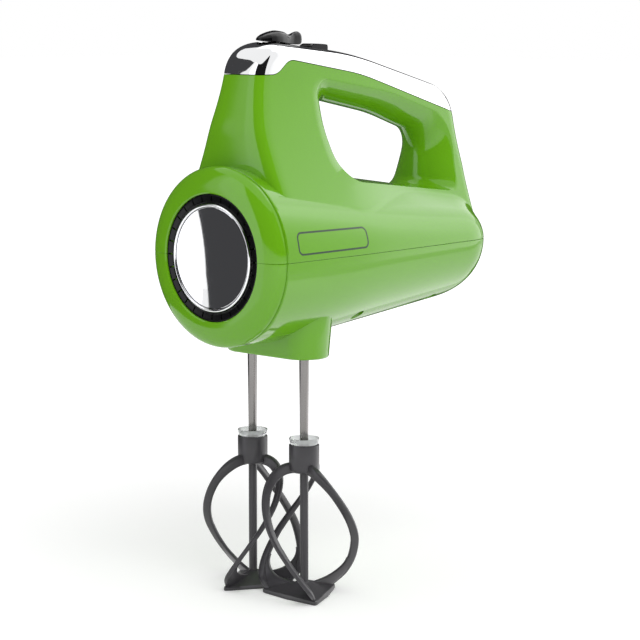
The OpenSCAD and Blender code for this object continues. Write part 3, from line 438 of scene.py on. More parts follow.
def handle_loop(name, t):
    """Sections round the loop: bulged inside, flat sides, crowned outside.

    Inside a = 90..0 degrees gives (cos a, rim to middle by sin a); outside the half-width falls as
    cos^p a while the section rises from the flat to the crest by sin^p a."""
    rim, mid = rounded(inset(HOLE_RIM, -t)), rounded(inset(HOLE_MID, -t))
    flat, top = rounded(inset(CREST, CROWN_H)), rounded(inset(CREST, t))
    p = 0.45 + 0.35 * smooth01((top[:, 0] - 25) / 25)[:, None]
    a = np.radians(90 - 90 * np.arange(ARC_IN + 1) / ARC_IN)
    bulge = rim[:, None] + (mid - rim)[:, None] * np.sin(a)[None, :, None] ** 1.7
    parts = [(np.cos(a)[None] * np.ones((len(rim), 1)), bulge)]
    w = np.arange(1, 8) / 8
    parts.append((np.ones((len(rim), 7)), rim[:, None] + (flat - rim)[:, None] * w[None, :, None]))
    a = np.radians(90 * (np.arange(ARC_OUT + 1) / ARC_OUT))
    f = np.sin(a)[None] ** p
    parts.append((np.cos(a)[None].clip(0) ** p, flat[:, None] + (top - flat)[:, None] * f[..., None]))
    share = np.concatenate([q[0] for q in parts], 1)
    place = np.concatenate([q[1] for q in parts], 1)
    x = share * (side_width(place[..., 0], place[..., 1] + AXIS) - t)
    half = np.stack([x, place[..., 0] - BODY_L / 2, place[..., 1] + AXIS], -1)
    other = half[:, -2:0:-1] * np.array([-1, 1, 1])
    return closed_loop(name, np.concatenate([half, other], 1))


def cap_prism(name, gap):
    """Everything above the cap's lower edge, grown by gap on all sides of its outline."""
    line = rounded(CAP_LINE, 12, 0)
    u = np.roll(line, -1, 0) - np.roll(line, 1, 0)
    u /= np.linalg.norm(u, axis=1)[:, None]
    line = line + gap * np.stack([u[:, 1], -u[:, 0]], 1)
    grid = [np.column_stack([np.full(len(line), x), line[:, 0] - BODY_L / 2, line[:, 1] + AXIS])
            for x in (60, -60)]
    return loft(name, np.array(grid))


def box_solid(name, half_w, d0, d1, z0, z1, x=0.0):
    """Plain block of a half-width round x, from depth d0 to d1 and height z0 to z1."""
    y0, y1 = d0 - BODY_L / 2, d1 - BODY_L / 2
    ring = [(x - half_w, y0), (x + half_w, y0), (x + half_w, y1), (x - half_w, y1)]
    return loft(name, np.array([[(*p, z) for p in ring] for z in (z0, z1)]))


def root_fillet(side):
    """Filler with a hollow curve between the handle's side and the barrel, along one side.

    At each depth a circle of radius R touches both: points of the side moved out by R are searched
    for the lowest that lies R from the ellipse. The curve is the parabola
    (1 - u)^2 high + 2 u (1 - u) corner + u^2 low, whose corner is where both tangents cross, and
    whose low end slides down the ellipse towards the rear. Behind depth 161 the ellipse shrinks as
    the heel does, and behind 178.7 the handle's side turns in towards its rear edge."""
    grid = []
    for d in np.concatenate([np.linspace(17, 160, 60), np.linspace(HEEL_D, 187.4, 36)]):
        radius = 2.5 + 17.5 * smooth01((d - 25) / 70) - 9.5 * smooth01((d - 106) / 32)
        shrink = (1 - max(0, (d - HEEL_D) / HEEL_L) ** HEEL_POWER) ** (1 / HEEL_POWER)
        turn_in = (1 - max(0, (d - 178.7) / CROWN_H) ** 2.5) ** 0.4
        w, up = barrel_axes(d)[0] * shrink, barrel_axes(d)[1] * shrink
        z = np.linspace(12, 95, 700)
        x = side_width(d, AXIS + z) * turn_in
        slope = np.gradient(x, z)
        out = np.stack([np.ones_like(slope), -slope], 1) / np.sqrt(1 + slope ** 2)[:, None]
        hubs = np.stack([x, z], 1) + radius * out
        t = np.linspace(0.05, math.pi / 2, 500)
        edge = np.stack([w * np.cos(t), up * np.sin(t)], 1)
        gap = np.sqrt(((hubs[:, None] - edge[None]) ** 2).sum(-1))
        inside = np.nonzero(gap.min(1) < radius)[0]
        if len(inside) == 0:
            continue
        k = min(int(inside.max()) + 1, len(z) - 1)
        high, up_side = np.array([x[k], z[k]]), np.array([slope[k], 1.0])
        turn = t[gap[k].argmin()] - 0.13 * smooth01((d - 105) / 30)
        low = np.array([w * math.cos(turn), up * math.sin(turn)])
        up_barrel = np.array([-w * math.sin(turn), up * math.cos(turn)])
        corner = high - up_side * np.linalg.solve(np.stack([up_side, up_barrel], 1), high - low)[0]
        u = np.linspace(0, 1, 15)[:, None]
        arc = (1 - u) ** 2 * high + 2 * u * (1 - u) * corner + u ** 2 * low
        ring = np.concatenate([arc, [low + (-1.5, -1.2), high + (-2.0, -1.0)]])
        depth = np.full(len(ring), d - BODY_L / 2)
        grid.append(np.column_stack([side * ring[:, 0], depth, AXIS + ring[:, 1]]))
    return loft("root_fillet", np.array(grid))


upper = barrel_half("upper_shell", barrel_rows(0), 1)
combine(upper, handle_loop("loop", 0), "UNION")
for side in (-1, 1):
    combine(upper, root_fillet(side), "UNION")
combine(upper, barrel_half("hollow", barrel_rows(WALL)[:-1], 1, gap=-3, edge=0), "DIFFERENCE")
combine(upper, handle_loop("hollow", WALL), "DIFFERENCE")
cut_recess(upper)
combine(upper, turned_level("cord_hole", [(195, 5.25), (171, 5.25)], height=CORD_H), "DIFFERENCE")
combine(upper, turned_level("cord_hole", [(195, 7.45), (186.4, 7.45)], height=CORD_H), "DIFFERENCE")
combine(upper, cap_prism("cap_edge", 0.4), "DIFFERENCE")
combine(upper, box_solid("below", 80, -25, 215, 150, AXIS + 0.05), "DIFFERENCE")
finish_shell(upper, green, "housing", "upper_housing", "handle_shell")

# ---------------------------------------------------------------- Printed frame on the side
# Thin dark green line printed on the right flank of the upper housing with a pad. It goes round the
# place of a name, which is left bare.


def printed_frame(d0, d1, z0, z1, radius, line):
    """Ribbon along a rounded rectangle, laid on the flank x = w sqrt(1 - (z / up)^2).

    The rectangle's rear end is a little less high. The ribbon's cross-section has four corners: half
    the line to each side, just under and over the skin."""
    corners = [(d0, z1, radius), (d1, z1 - 0.7, radius), (d1, z0 + 0.1, radius), (d0, z0, radius)]
    path = rounded(corners, 8, 24)
    u = np.roll(path, -1, 0) - np.roll(path, 1, 0)
    n = np.stack([u[:, 1], -u[:, 0]], 1) / np.linalg.norm(u, axis=1)[:, None]
    grid = []
    for shift, lift in ((-line / 2, -0.1), (-line / 2, 0.03), (line / 2, 0.03), (line / 2, -0.1)):
        q = path + shift * n
        w, up, _ = barrel_axes(q[:, 0])
        x = w * np.sqrt(1 - (q[:, 1] / up) ** 2) + lift
        grid.append(np.stack([x, q[:, 0] - BODY_L / 2, AXIS + q[:, 1]], 1))
    return closed_loop("printed_frame", np.array(grid))


ink = finish("dark_green_ink", "green", (0.012, 0.045, 0.014), 0.35, play=0.1, shade=0.2, grain=900,
             relief=0.002)
finish_shell(printed_frame(17.4, 71.2, 3.8, 15.0, radius=3.0, line=0.95), ink, "housing")

# ---------------------------------------------------------------- Chrome cap
# Plated plastic cover over the grip and the handle's nose, snapped into the shell along its lower
# edge. Two slots in its crown let the stems of the selector and the turbo button through.

chrome = finish("chrome_plate", "chrome", (0.875, 0.88, 0.89), 0.035, 1.0, play=0.02, shade=0.03,
                relief=0.00015)
cap = handle_loop("chrome_cap", 0)
combine(cap, handle_loop("hollow", WALL), "DIFFERENCE")
combine(cap, cap_prism("cap_edge", 0), "INTERSECT")
combine(cap, box_solid("button_slot", 4.75, 72.75, 86.25, 270, 320), "DIFFERENCE")
combine(cap, box_solid("selector_slot", 3.2, 38.3, 60.6, 280, 320), "DIFFERENCE")
finish_shell(cap, chrome, "housing", "handle_cap")

# ---------------------------------------------------------------- Nose: vent ring, bright ring and dish
# A gloss black ring is pressed into the bezel's recess, with air slots cut round it. A thin plated
# ring sits inside it and holds a shallow polished dish.


def revolve(name, profile, n=256, height=AXIS):
    """Solid of a closed outline (depth, radius) turned about a level axis.

    Each of its points goes round as (r cos a, depth, height + r sin a)."""
    p = np.array(profile, dtype=float)
    a = full_turn(n)
    depth = p[:, :1] - BODY_L / 2 + 0 * a
    return closed_loop(name, np.stack([p[:, 1:] * np.cos(a), depth, height + p[:, 1:] * np.sin(a)], -1))


VENT_SLOTS, SLOT_R, SLOT_HALF_L, SLOT_END_R = 28, 31.2, 1.1, 0.45
VENT_R_IN, VENT_R_OUT = 28.73, 33.75
u = np.linspace(0, 1, 9)
lip = np.stack([1.5 - 0.5 * np.sin(u * math.pi / 2), VENT_R_OUT - 0.5 * (1 - np.cos(u * math.pi / 2))], 1)
well = np.stack([1.3 + 0.35 * np.sin(u * math.pi / 2), 29.9 - 0.6 * u], 1)
vent_ring = turned_level("vent_ring_shell", [
    (4.0, 0.0), (4.0, VENT_R_IN), (3.0, VENT_R_IN), (1.9, VENT_R_IN + 0.15), *well[::-1],
    (1.25, 30.6), (1.15, 31.5), (1.05, 32.6), *lip[::-1],
    (2.3, VENT_R_OUT), (2.3, 30.8), (6.5, 30.8), (6.5, 29.8), (5.5, 29.8), (5.5, 0.0)], n=256)
for k in range(VENT_SLOTS):
    t = 2 * math.pi * k / VENT_SLOTS
    a = full_turn(16)
    reach = SLOT_HALF_L * np.sign(np.cos(a)) * (np.abs(np.cos(a)) > 0.3)
    r = SLOT_R + reach + SLOT_END_R * np.cos(a)
    w = SLOT_END_R * np.sin(a)
    ring = np.stack([r * math.cos(t) - w * math.sin(t), r * math.sin(t) + w * math.cos(t)], 1)
    grid = [np.column_stack([ring[:, 0], np.full(16, d - BODY_L / 2), AXIS + ring[:, 1]]) for d in (-1, 9)]
    combine(vent_ring, loft("slot", np.array(grid)), "DIFFERENCE")
black = finish("black_gloss", "black", (0.004, 0.004, 0.0045), 0.14, play=0.06, shade=0.2, relief=0.0004,
               Specular_IOR_Level=0.22)
finish_shell(vent_ring, black, "housing", "vent_ring")

bead = [(1.05 - 0.75 * math.sin(t), 27.85 - 0.8 * math.cos(t)) for t in np.linspace(0, math.pi, 25)]
badge_ring = revolve("bright_ring", [(3.9, 27.05), (1.6, 27.05), *bead, (1.6, 28.65), (3.9, 28.65)])
finish_shell(badge_ring, chrome, "housing", "badge_ring")

# The dish's face is a paraboloid 1.6 mm deep.
face = [(1.15 + 1.6 * (1 - q * q), 26.55 * q) for q in np.linspace(1, 0, 40)]
rim = [(3.9, 0.0), (3.9, 26.85), (1.5, 26.85), (1.25, 26.75)]
dish = turned_level("polished_dish", rim + face, n=256)
finish_shell(dish, chrome, "housing", "badge_disc")

# ---------------------------------------------------------------- Speed selector
# Black thumb slide on the cap: a dome in front, a dip for the thumb and an upturned horn behind.
# Its stem and plate run inside the cap.


def smooth_columns(knots, n):
    """Columns of a table against its first column, joined by monotone cubic curves, at n even steps."""
    k = np.array(knots, dtype=float)
    x, y = k[:, 0], k[:, 1:]
    h = np.diff(x)[:, None]
    m = np.diff(y, axis=0) / h
    t = np.zeros_like(y)
    same = m[:-1] * m[1:] > 0
    with np.errstate(divide="ignore", invalid="ignore"):
        t[1:-1] = np.where(same, 2 * m[:-1] * m[1:] / (m[:-1] + m[1:]), 0)
    t[0], t[-1] = m[0], m[-1]
    q = np.linspace(x[0], x[-1], n)
    i = np.clip(np.searchsorted(x, q, side="right") - 1, 0, len(x) - 2)
    s = ((q - x[i]) / (x[i + 1] - x[i]))[:, None]
    return q, ((2 * s**3 - 3 * s**2 + 1) * y[i] + (s**3 - 2 * s**2 + s) * h[i] * t[i]
               + (3 * s**2 - 2 * s**3) * y[i + 1] + (s**3 - s**2) * h[i] * t[i + 1])


SELECTOR_D, SELECTOR_L, SELECTOR_HALF_W = 37.0, 30, 6
SELECTOR_TILT = math.radians(6.2)
CREST_H = 113.28


def on_cap(points):
    """Points measured from the cap's crest at the selector's front, turned with its fall to the heel."""
    c, s = math.cos(SELECTOR_TILT), math.sin(SELECTOR_TILT)
    x, y, z = points[..., 0], points[..., 1], points[..., 2]
    return np.stack([x, y * c + z * s + SELECTOR_D - BODY_L / 2, -y * s + z * c + AXIS + CREST_H], -1)


# Share of the length, share of the half-width, height of the top and of the underside.
profile = [(0.0, 0.14, 0.5, 0), (0.01, 0.3, 0.9, 0), (0.03, 0.5, 1.6, 0), (0.08, 0.73, 2.6, 0),
           (0.16, 0.93, 3.9, 0), (0.28, 1.0, 5.3, 0), (0.4, 0.97, 6.1, 0), (0.54, 0.85, 6.0, 0),
           (0.64, 0.73, 5.2, 0), (0.7, 0.67, 4.8, 0), (0.78, 0.62, 5.2, 0), (0.88, 0.6, 6.6, 0),
           (0.95, 0.58, 7.2, 0.5), (0.985, 0.54, 6.9, 1.4), (1.0, 0.46, 6.0, 2.6)]
q, cols = smooth_columns(profile, 90)
a = np.linspace(0, math.pi, 61)
x = (cols[:, :1] * SELECTOR_HALF_W) * np.sign(np.cos(a)) * np.abs(np.cos(a)) ** 0.85
z = (cols[:, 1:2] - cols[:, 2:3]) * np.sin(a) ** 0.75 + cols[:, 2:3]
y = np.broadcast_to(q[:, None] * SELECTOR_L, x.shape)
selector = loft("selector_body", on_cap(np.stack([x, y, z], -1)))
# Two oblong stems and the plate under the cap that holds them.
for t in (13, 20):
    a = full_turn(32)
    ring = np.stack([1.8 * np.cos(a), t + np.sign(np.sin(a)) + 1.8 * np.sin(a)], 1)
    stem = on_cap(np.array([np.column_stack([ring, np.full(32, h)]) for h in (-12, 0.5)]))
    combine(selector, loft("stem", stem), "UNION")
plate = np.array([[(-4.5, 8, h), (4.5, 8, h), (4.5, 24, h), (-4.5, 24, h)] for h in (-10.5, -8.5)])
combine(selector, loft("plate", on_cap(plate)), "UNION")
finish_shell(selector, black, "speed_selector", "speed_selector", angle=40)

# ---------------------------------------------------------------- Turbo button
# Black wedge that stands a little out of the cap behind the selector, on a skirt under the cap.

BUTTON_HALF_W = 4.5
BUTTON_Z, BUTTON_FOOT_Z = 296.3, 291.3
stations = [(73.0, 0.2), (73.1, 0.75), (73.5, 1.1), (74.6, 1.65), (76.2, 2.0),
            (80.0, 1.85), (84.4, 1.5), (85.5, 1.25), (85.9, 0.85), (86.0, 0.2)]
q, top = smooth_columns(stations, 40)
# Each section is a circle drawn too large and clipped to a square, which leaves its corners round.
a = np.radians(np.arange(0, 360, 6) + 45)
grid = []
for d, h in zip(q, top[:, 0]):
    h += BUTTON_Z
    x = BUTTON_HALF_W * np.clip(1.25 * np.cos(a), -1, 1) * (1 - 0.03 * (np.abs(np.sin(a)) > 0.8))
    z = np.clip(1.25 * np.sin(a), -1, 1)
    z = np.where(z > 0, h - 0.35 * (np.abs(np.cos(a)) > 0.6) * z, BUTTON_FOOT_Z)
    grid.append(np.stack([x, np.full(len(a), d - BODY_L / 2), z], 1))
turbo = loft("turbo_cap", np.array(grid))
combine(turbo, box_solid("skirt", 5.5, 74, 85, 288.9, 290.5), "UNION")
combine(turbo, box_solid("neck", 2.5, 75, 84, 289.3, 293.3), "UNION")
combine(turbo, turned_upright("spring_seat", [(286.3, 2.6), (292.3, 2.6)], 0, 79.5), "DIFFERENCE")
finish_shell(turbo, black, "turbo_button", "turbo_button", angle=35)

# ---------------------------------------------------------------- Beaters
# Each beater is a moulded nylon cage: a hub, a rod down the middle and three ribs that wind round
# the cage and end in a three-pointed foot. A tapered steel shaft with two ears is pressed into the
# hub, and a clear flared collar on the hub keeps batter off it. The two cages mesh.


BEATER_Y = BEATER_D - BODY_L / 2
CAGE_R, CAGE_Z = 29.8, 31
RIB_TOP, RIB_FALL = 73.9, 72.3
RIB_HALF_W, RIB_HALF_T = 1.5, 2.3
FOOT_R, FOOT_H = 23.5, 8.5


def cage_radius(z):
    """Egg, widest at CAGE_Z: CAGE_R (1 - (distance / reach)^p)^0.3.

    Above, the reach is 43 and p is 1.41; below they are 34 and 3.65."""
    above = 1 - (np.maximum(z - CAGE_Z, 0) / 43) ** 1.41
    below = 1 - (np.maximum(CAGE_Z - z, 0) / 34) ** 3.65
    return CAGE_R * np.maximum(np.where(z > CAGE_Z, above, below), 1e-3) ** 0.3


def rounded_wave(wave, power):
    """A sine or cosine made squarer: its sign times its size to a power below one."""
    return np.sign(wave) * np.abs(wave) ** power


def cage_rib(x, start, sweep):
    """Rib from the hub to the foot: a rounded bar swept down the egg, turning by sweep degrees.

    Its section is squared by the powers of rounded_wave and leans with the egg's slope. It is 1.3
    times as big at the hub and 0.6 times at the foot."""
    t = np.linspace(0, 1, 96) ** 1.6
    z = RIB_TOP * (1 - t) + 1.6 * t
    r = np.maximum(cage_radius(z), 5) - 1.6 * smooth01((t - 0.9) / 0.1)
    size = (1 + 0.3 * (1 - smooth01(t / 0.22)) - 0.4 * smooth01((t - 0.88) / 0.12))[:, None]
    lean = np.arctan((cage_radius(z + 0.2) - cage_radius(z - 0.2)) / 0.4)
    turn = np.radians(start + sweep * t)
    a = full_turn(24)
    deep = size * (RIB_HALF_T * rounded_wave(np.cos(a), 0.55) - RIB_HALF_T)
    wide = size * (RIB_HALF_W * rounded_wave(np.sin(a), 0.55))
    rr = r[:, None] + deep * np.cos(lean)[:, None]
    zz = z[:, None] - deep * np.sin(lean)[:, None]
    c, s = np.cos(turn)[:, None], np.sin(turn)[:, None]
    return loft("rib", np.stack([x + rr * c - wide * s, BEATER_Y + rr * s + wide * c, zz], -1))


def foot_star(x, start):
    """Three-pointed foot: its ridges fall outwards from the middle, its edges are rounded.

    In each third, off the point by an angle, the rim lies at 1 / (cos / FOOT_R + 0.0629 |sin|),
    with a small rounding at the point; the top falls by 0.28 along the ridge and by 0.52 across."""
    a = np.radians(np.arange(0, 360, 1.5))
    off = (a - math.radians(start) + math.pi / 3) % (2 * math.pi / 3) - math.pi / 3
    reach = 1 / (np.cos(off) / FOOT_R + 0.0629 * (np.sqrt(np.sin(off) ** 2 + 0.0016) - 0.04))
    drops = [(q, 0) for q in (0.002, 0.1, 0.25, 0.4, 0.55, 0.7, 0.85, 0.94)] + [(0.98, 0.12), (1.0, 0.5)]
    rings = []
    for share, drop in drops:
        px, py = share * reach * np.cos(off), share * reach * np.abs(np.sin(off))
        z = np.maximum(FOOT_H - 0.2796 * np.maximum(px - 1.8, 0) - 0.5215 * py, 1.1) - drop
        rings.append((share, z))
    rings += [(q, np.full(len(a), h)) for q, h in ((1.0, 0.45), (0.985, 0.1), (0.96, 0), (0.002, 0))]
    grid = [np.stack([x + q * reach * np.cos(a), BEATER_Y + q * reach * np.sin(a), z], 1) for q, z in rings]
    return loft("foot", np.array(grid))


def foot_web(x, start, sweep):
    """Web in the corner between a rib and the foot: from the rib's back inwards to a quarter ellipse.

    At height z it reaches from r = 24.5 - 19 (1 - sqrt(1 - ((19 - z) / 12)^2)) to the rib, and it
    turns with it."""
    z = np.linspace(18.9, 2, 30)
    t = (RIB_TOP - z) / RIB_FALL
    outer = cage_radius(z) - 1.2 - 1.6 * smooth01((t - 0.9) / 0.1)
    inner = 24.5 - 19 * (1 - np.sqrt(np.maximum(1 - ((19 - z) / 12) ** 2, 0)))
    inner = np.minimum(inner, outer - 0.4)
    turn = np.radians(start + sweep * t)[:, None]
    a = full_turn(20)
    rr = ((outer + inner) / 2)[:, None] + ((outer - inner) / 2)[:, None] * rounded_wave(np.cos(a), 0.4)
    wide = 1.25 * rounded_wave(np.sin(a), 0.5)
    c, s = np.cos(turn), np.sin(turn)
    height = np.broadcast_to(z[:, None], rr.shape)
    return loft("web", np.stack([x + rr * c - wide * s, BEATER_Y + rr * s + wide * c, height], -1))


# Outlines turned about a beater's axis: height, radius.
HUB = [(68.7, 2.2), (68.7, 6.7), (69.0, 7.4), (69.6, 7.9), (70.6, 8.15), (74.35, 8.2), (83.3, 8.2),
       (83.65, 8.1), (83.8, 7.8), (83.8, 2.45), (74.9, 2.22), (74.9, 0)]
ROD = [(2, 0), (2, 2.3), (73.5, 2.3), (73.5, 0)]
SHAFT = [(75, 0), (75, 2.0), (75.3, 2.16), (128.5, 2.6), (177.3, 2.6), (178.1, 2.3), (178.5, 1.6), (178.5, 0)]
COLLAR = [(83.9, 2.55), (83.9, 7.2), (84.1, 7.45), (87.1, 8.25), (87.3, 8.2), (87.3, 7.6), (87.1, 7.35),
          (85.2, 6.6), (85.0, 6.3), (85.0, 2.55)]
nylon = finish("dark_nylon", "grey", (0.04, 0.038, 0.043), 0.34, play=0.12, shade=0.25, cloud=120,
               grain=1400, relief=0.006)
steel = finish("turned_steel", "steel", (0.26, 0.25, 0.245), 0.26, 1.0, play=0.1, shade=0.15, grain=1500,
               relief=0.002, stretch=(0.15, 0.15, 1))
clear = finish("clear_collar", "clear", (0.9, 0.91, 0.92), 0.28, play=0.08, shade=0.06, relief=0.001,
               Transmission_Weight=0.75, IOR=1.3)
for side, name, start, sweep in ((-1, "left", -101, -107), (1, "right", 221, 107)):
    x = BEATER_X * side
    whisk = turned_upright("%s_cage" % name, HUB, x, BEATER_D, n=72)
    combine(whisk, turned_upright("rod", ROD, x, BEATER_D, n=32), "UNION")
    combine(whisk, foot_star(x, start + sweep), "UNION")
    for k in range(3):
        combine(whisk, cage_rib(x, start + 120 * k, sweep), "UNION")
        combine(whisk, foot_web(x, start + 120 * k, sweep), "UNION")
    finish_shell(whisk, nylon, "%s_beater" % name, "%s_whisk" % name, angle=38)
    shaft = turned_upright("%s_shaft" % name, SHAFT, x, BEATER_D, n=64)
    combine(shaft, box_solid("ears", 4, BEATER_D - 0.6, BEATER_D + 0.6, 132.5, 136.5, x), "UNION")
    finish_shell(shaft, steel, "%s_beater" % name, "%s_beater_shaft" % name)
    collar = turned_upright("%s_collar_cup" % name, COLLAR, x, BEATER_D, n=96)
    finish_shell(collar, clear, "%s_beater" % name, "%s_collar" % name)

# ---------------------------------------------------------------- Rear fittings
# A rubber bush lines the cord's way out of the heel. Below it a flat moulded foot is let into the
# heel, so that the mixer can be stood on its end.

rubber = finish("black_rubber", "rubber", (0.013, 0.013, 0.013), 0.55, play=0.15, shade=0.3, grain=1800,
                relief=0.008)
bush = revolve("cord_bush_lips", [
    (181, 3.3), (181, 5.1), (186.5, 5.1), (186.5, 7.1), (186.7, 7.3),
    (188.4, 7.3), (188.8, 6.9), (189.0, 5.2), (189.0, 3.7), (188.7, 3.3)], 64, CORD_H)
finish_shell(bush, rubber, "housing", "cord_bush")

finish_shell(heel_block("heel_foot", 0, 185, BODY_L, 0.8), green, "housing", "heel_plate")

# ---------------------------------------------------------------- Motor
# Series motor on the axis: a stack of steel sheets with field coils, an armature wound with lacquered
# copper, a copper commutator with carbon brushes, a fan and three oil-soaked bronze bearings.


def dress(material, *names):
    """Give the solids of these names a finish."""
    for name in names:
        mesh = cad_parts[name].data
        mesh.materials.clear()
        mesh.materials.append(material)


laminations = finish("sheet_stack", "lamination", (0.12, 0.125, 0.135), 0.42, 1.0, play=0.2, shade=0.3,
                     grain=1600, relief=0.06, stretch=(0.02, 1, 0.02))
dress(laminations, "stator", "armature")
lacquered = finish("lacquered_copper", "copper", (0.5, 0.16, 0.055), 0.32, 1.0, play=0.15, shade=0.35,
                   grain=1300, relief=0.12, stretch=(1, 0.05, 1))
dress(lacquered, "windings", "field_coils")
copper = finish("bare_copper", "copper", (0.62, 0.27, 0.13), 0.28, 1.0, play=0.15, shade=0.2,
                grain=1500, relief=0.01, stretch=(0.1, 1, 0.1))
dress(copper, "commutator")
bronze = finish("sintered_bronze", "bronze", (0.3, 0.19, 0.08), 0.45, 1.0, play=0.2, shade=0.3,
                grain=2200, relief=0.015)
dress(bronze, "front_bearing", "middle_bearing", "rear_bearing", "spindle_bushes")
brass = finish("pressed_brass", "bronze", (0.5, 0.36, 0.13), 0.3, 1.0, play=0.15, shade=0.2,
               grain=800, relief=0.004)
dress(brass, "brush_holders")
carbon = finish("carbon", "dark", (0.02, 0.02, 0.022), 0.6, play=0.2, shade=0.4, grain=2500, relief=0.01)
dress(carbon, "brushes")
moulded = finish("moulded_black", "dark", (0.018, 0.018, 0.02), 0.42, play=0.12, shade=0.25,
                 grain=1500, relief=0.008)
dress(moulded, "cooling_fan", "switch_block", "eject_plunger")
ground = finish("motor_shaft_steel", "steel", (0.52, 0.52, 0.53), 0.22, 1.0, play=0.1, shade=0.15,
                grain=1500, relief=0.003, stretch=(0.1, 1, 0.1))
dress(ground, "motor_shaft", "worm")

# ---------------------------------------------------------------- Gears, plates, screws and springs
# The worm drives two nylon wheels pressed on steel spindles. Zinc-plated sheet carries motor and
# gears, plated screws close the halves, and wire springs lift the plunger and the button.

natural = finish("natural_nylon", "nylon", (0.68, 0.64, 0.52), 0.4, play=0.12, shade=0.12, grain=1200,
                 relief=0.006, Subsurface_Weight=0.15, Subsurface_Scale=0.002)
dress(natural, "left_worm_wheel", "right_worm_wheel")
drawn_steel = finish("spindle_steel", "steel", (0.5, 0.5, 0.51), 0.25, 1.0, play=0.1, shade=0.15,
                     grain=1500, relief=0.003, stretch=(0.1, 0.1, 1))
dress(drawn_steel, "left_spindle", "right_spindle", "eject_spring", "turbo_spring")
zinc = finish("zinc_sheet", "steel", (0.42, 0.43, 0.45), 0.35, 1.0, play=0.2, shade=0.25, cloud=90,
              grain=600, relief=0.006)
dress(zinc, "gear_plate", "housing_screws")
dark_frame = finish("dark_frame", "dark", (0.03, 0.03, 0.033), 0.45, play=0.15, shade=0.25,
                    grain=1300, relief=0.01)
dress(dark_frame, "motor_bracket")

# ---------------------------------------------------------------- Floor, light and camera
# A white floor, a white surround and one broad soft lamp. Round them stand dark and bright cards and
# panels, which only polished surfaces mirror.


def rays_of(tree, *kinds):
    """One for a ray of any of these kinds and zero for the others."""
    path = tree.nodes.new("ShaderNodeLightPath")
    seen = path.outputs[kinds[0]]
    for kind in kinds[1:]:
        seen = math_node(tree, "MAXIMUM", seen, path.outputs[kind])
    return seen


world = bpy.data.worlds.new("surround")
bpy.context.scene.world = world
world.use_nodes = True
nodes, links = world.node_tree.nodes, world.node_tree.links
seen = nodes.new("ShaderNodeBackground")
seen.inputs["Color"].default_value = (1, 1, 1, 1)
plain = nodes["Background"]
plain.inputs["Color"].default_value = (1, 1, 1, 1)
plain.inputs["Strength"].default_value = 0.8
both = nodes.new("ShaderNodeMixShader")
links.new(rays_of(world.node_tree, "Is Camera Ray", "Is Glossy Ray", "Is Transmission Ray"), both.inputs[0])
links.new(plain.outputs[0], both.inputs[1])
links.new(seen.outputs[0], both.inputs[2])
links.new(both.outputs[0], nodes["World Output"].inputs["Surface"])


def map_range(tree, source, from_min, from_max, to_min, to_max):
    """Output that goes evenly from to_min to to_max while the source goes from from_min to from_max."""
    node = tree.nodes.new("ShaderNodeMapRange")
    limits = zip(("From Min", "From Max", "To Min", "To Max"), (from_min, from_max, to_min, to_max))
    for key, value in limits:
        node.inputs[key].default_value = value
    tree.links.new(source, node.inputs["Value"])
    return node.outputs[0]


FLOOR_HALF = 9000
floor_mat = bpy.data.materials.new("white_floor")
floor_mat.use_nodes = True
tree = floor_mat.node_tree
nodes, links = tree.nodes, tree.links
bsdf = nodes["Principled BSDF"]
bsdf.inputs["Base Color"].default_value = (0.96, 0.96, 0.96, 1)
bsdf.inputs["Roughness"].default_value = 0.7
bsdf.inputs["Specular IOR Level"].default_value = 0.0
where = nodes.new("ShaderNodeTexCoord")
far = nodes.new("ShaderNodeVectorMath")
far.operation = "LENGTH"
links.new(where.outputs["Object"], far.inputs[0])
lift = map_range(tree, far.outputs["Value"], 0.15, 0.9, 0.1, 0.4)
glow = nodes.new("ShaderNodeEmission")
glow.inputs["Color"].default_value = (1, 1, 1, 1)
seen = rays_of(tree, "Is Camera Ray", "Is Glossy Ray")
links.new(math_node(tree, "MULTIPLY", seen, lift), glow.inputs["Strength"])
add = nodes.new("ShaderNodeAddShader")
links.new(bsdf.outputs[0], add.inputs[0])
links.new(glow.outputs[0], add.inputs[1])
links.new(add.outputs[0], nodes["Material Output"].inputs["Surface"])
corners = [(x * FLOOR_HALF, y * FLOOR_HALF, 0) for x, y in ((-1, -1), (1, -1), (1, 1), (-1, 1))]
floor = mesh_object("floor", corners, [[0, 1, 2, 3]], floor_mat)


def glow_material(name):
    """Material that only gives light, and its emission node."""
    mat = bpy.data.materials.new(name)
    mat.use_nodes = True
    nodes = mat.node_tree.nodes
    nodes.remove(nodes["Principled BSDF"])
    glow = nodes.new("ShaderNodeEmission")
    mat.node_tree.links.new(glow.outputs[0], nodes["Material Output"].inputs["Surface"])
    return mat, glow


def only_mirrored(obj):
    """Leave an object to reflections alone."""
    obj.visible_camera = obj.visible_diffuse = obj.visible_shadow = obj.visible_transmission = False


def studio_card(name, az0, ends, reach, level):
    """Part of an upright cylinder round the nose that only polished surfaces see.

    It starts at azimuth az0 and ends at the azimuths given for its heights."""
    steps, centre = 33, -80
    grid = []
    for z, az1 in ends:
        a = np.radians(np.linspace(az0, az1, steps))
        grid.append(np.stack([reach * np.cos(a), centre + reach * np.sin(a), np.full(steps, z)], 1))
    mat, glow = glow_material(name)
    glow.inputs["Color"].default_value = (level, level, level * 1.06, 1)
    only_mirrored(mesh_object(name, np.concatenate(grid), grid_faces(len(ends), steps, False), mat))


studio_card("left_flag", 112, [(0, 228), (150, 228), (300, 222.5), (720, 222.5)], 500, 0.055)
studio_card("front_flag", -106, [(205, 18), (800, 18)], 500, 0.012)
studio_card("rear_flag", 94, [(0, 112), (330, 112)], 505, 0.055)
studio_card("front_glow", 229, [(0, 253.5), (800, 253.5)], 520, 1.6)


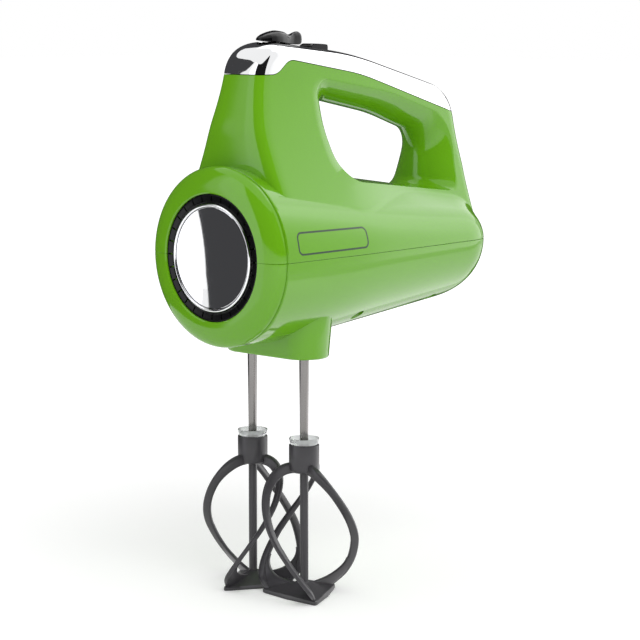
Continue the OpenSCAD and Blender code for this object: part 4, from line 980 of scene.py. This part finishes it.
def light_panel(name, corners, level, y0, y1):
    """Flat panel that only polished surfaces see; it brightens from 1 to level between y0 and y1."""
    mat, glow = glow_material(name)
    tree = mat.node_tree
    place = tree.nodes.new("ShaderNodeTexCoord")
    split = tree.nodes.new("ShaderNodeSeparateXYZ")
    tree.links.new(place.outputs["Object"], split.inputs[0])
    ramp = map_range(tree, split.outputs["Y"], y0 / 1000, y1 / 1000, 1.0, level)
    tree.links.new(ramp, glow.inputs["Strength"])
    only_mirrored(mesh_object(name, corners, [[0, 1, 2, 3]], mat))


PANEL_X, PANEL_TOP, PANEL_END = 300, 1200, 3000
side_wall = [(60, 76), (PANEL_END, 76), (PANEL_END, PANEL_TOP), (60, PANEL_TOP)]
light_panel("side_panel", [(PANEL_X, y, z) for y, z in side_wall], 3.0, 190, 520)
light_panel("low_panel", [(-60, -60, 2), (330, -60, 2), (330, 1100, 2), (-60, 1100, 2)], 1.9, -60, 200)
roof = [(PANEL_X, 60), (PANEL_X, PANEL_END), (-900, PANEL_END), (-900, 60)]
light_panel("roof_panel", [(x, y, PANEL_TOP) for x, y in roof], 2.5, 190, 520)

lamp = bpy.data.lights.new("soft_lamp", "AREA")
lamp.shape = "RECTANGLE"
lamp.size, lamp.size_y = 1.2, 1.2
lamp.energy = 12
key = bpy.data.objects.new("soft_lamp", lamp)
bpy.context.scene.collection.objects.link(key)
key.location = (1.1, -0.5, 1.4)
key.rotation_euler = (math.radians(40), 0, math.radians(65))
key.visible_glossy = False


def look_at(place, target):
    """Rotation of a camera at place whose view runs through target, with its top upwards."""
    back = np.array(place) - np.array(target)
    back /= np.linalg.norm(back)
    return (math.acos(back[2]), 0.0, math.atan2(back[1], back[0]) + math.pi / 2)


CAMERA_PLACE = (0.86533, -0.94055, 0.32206)
CAMERA_TARGET = (0.042189, -0.055751, 0.154848)
camera = bpy.data.objects.new("camera", bpy.data.cameras.new("camera"))
bpy.context.scene.collection.objects.link(camera)
camera.data.sensor_width = 36
camera.data.lens = 130.44375
camera.location = CAMERA_PLACE
camera.rotation_euler = look_at(CAMERA_PLACE, CAMERA_TARGET)
camera.data.clip_end = 50
bpy.context.scene.camera = camera
bpy.context.scene.view_settings.view_transform = "Standard"
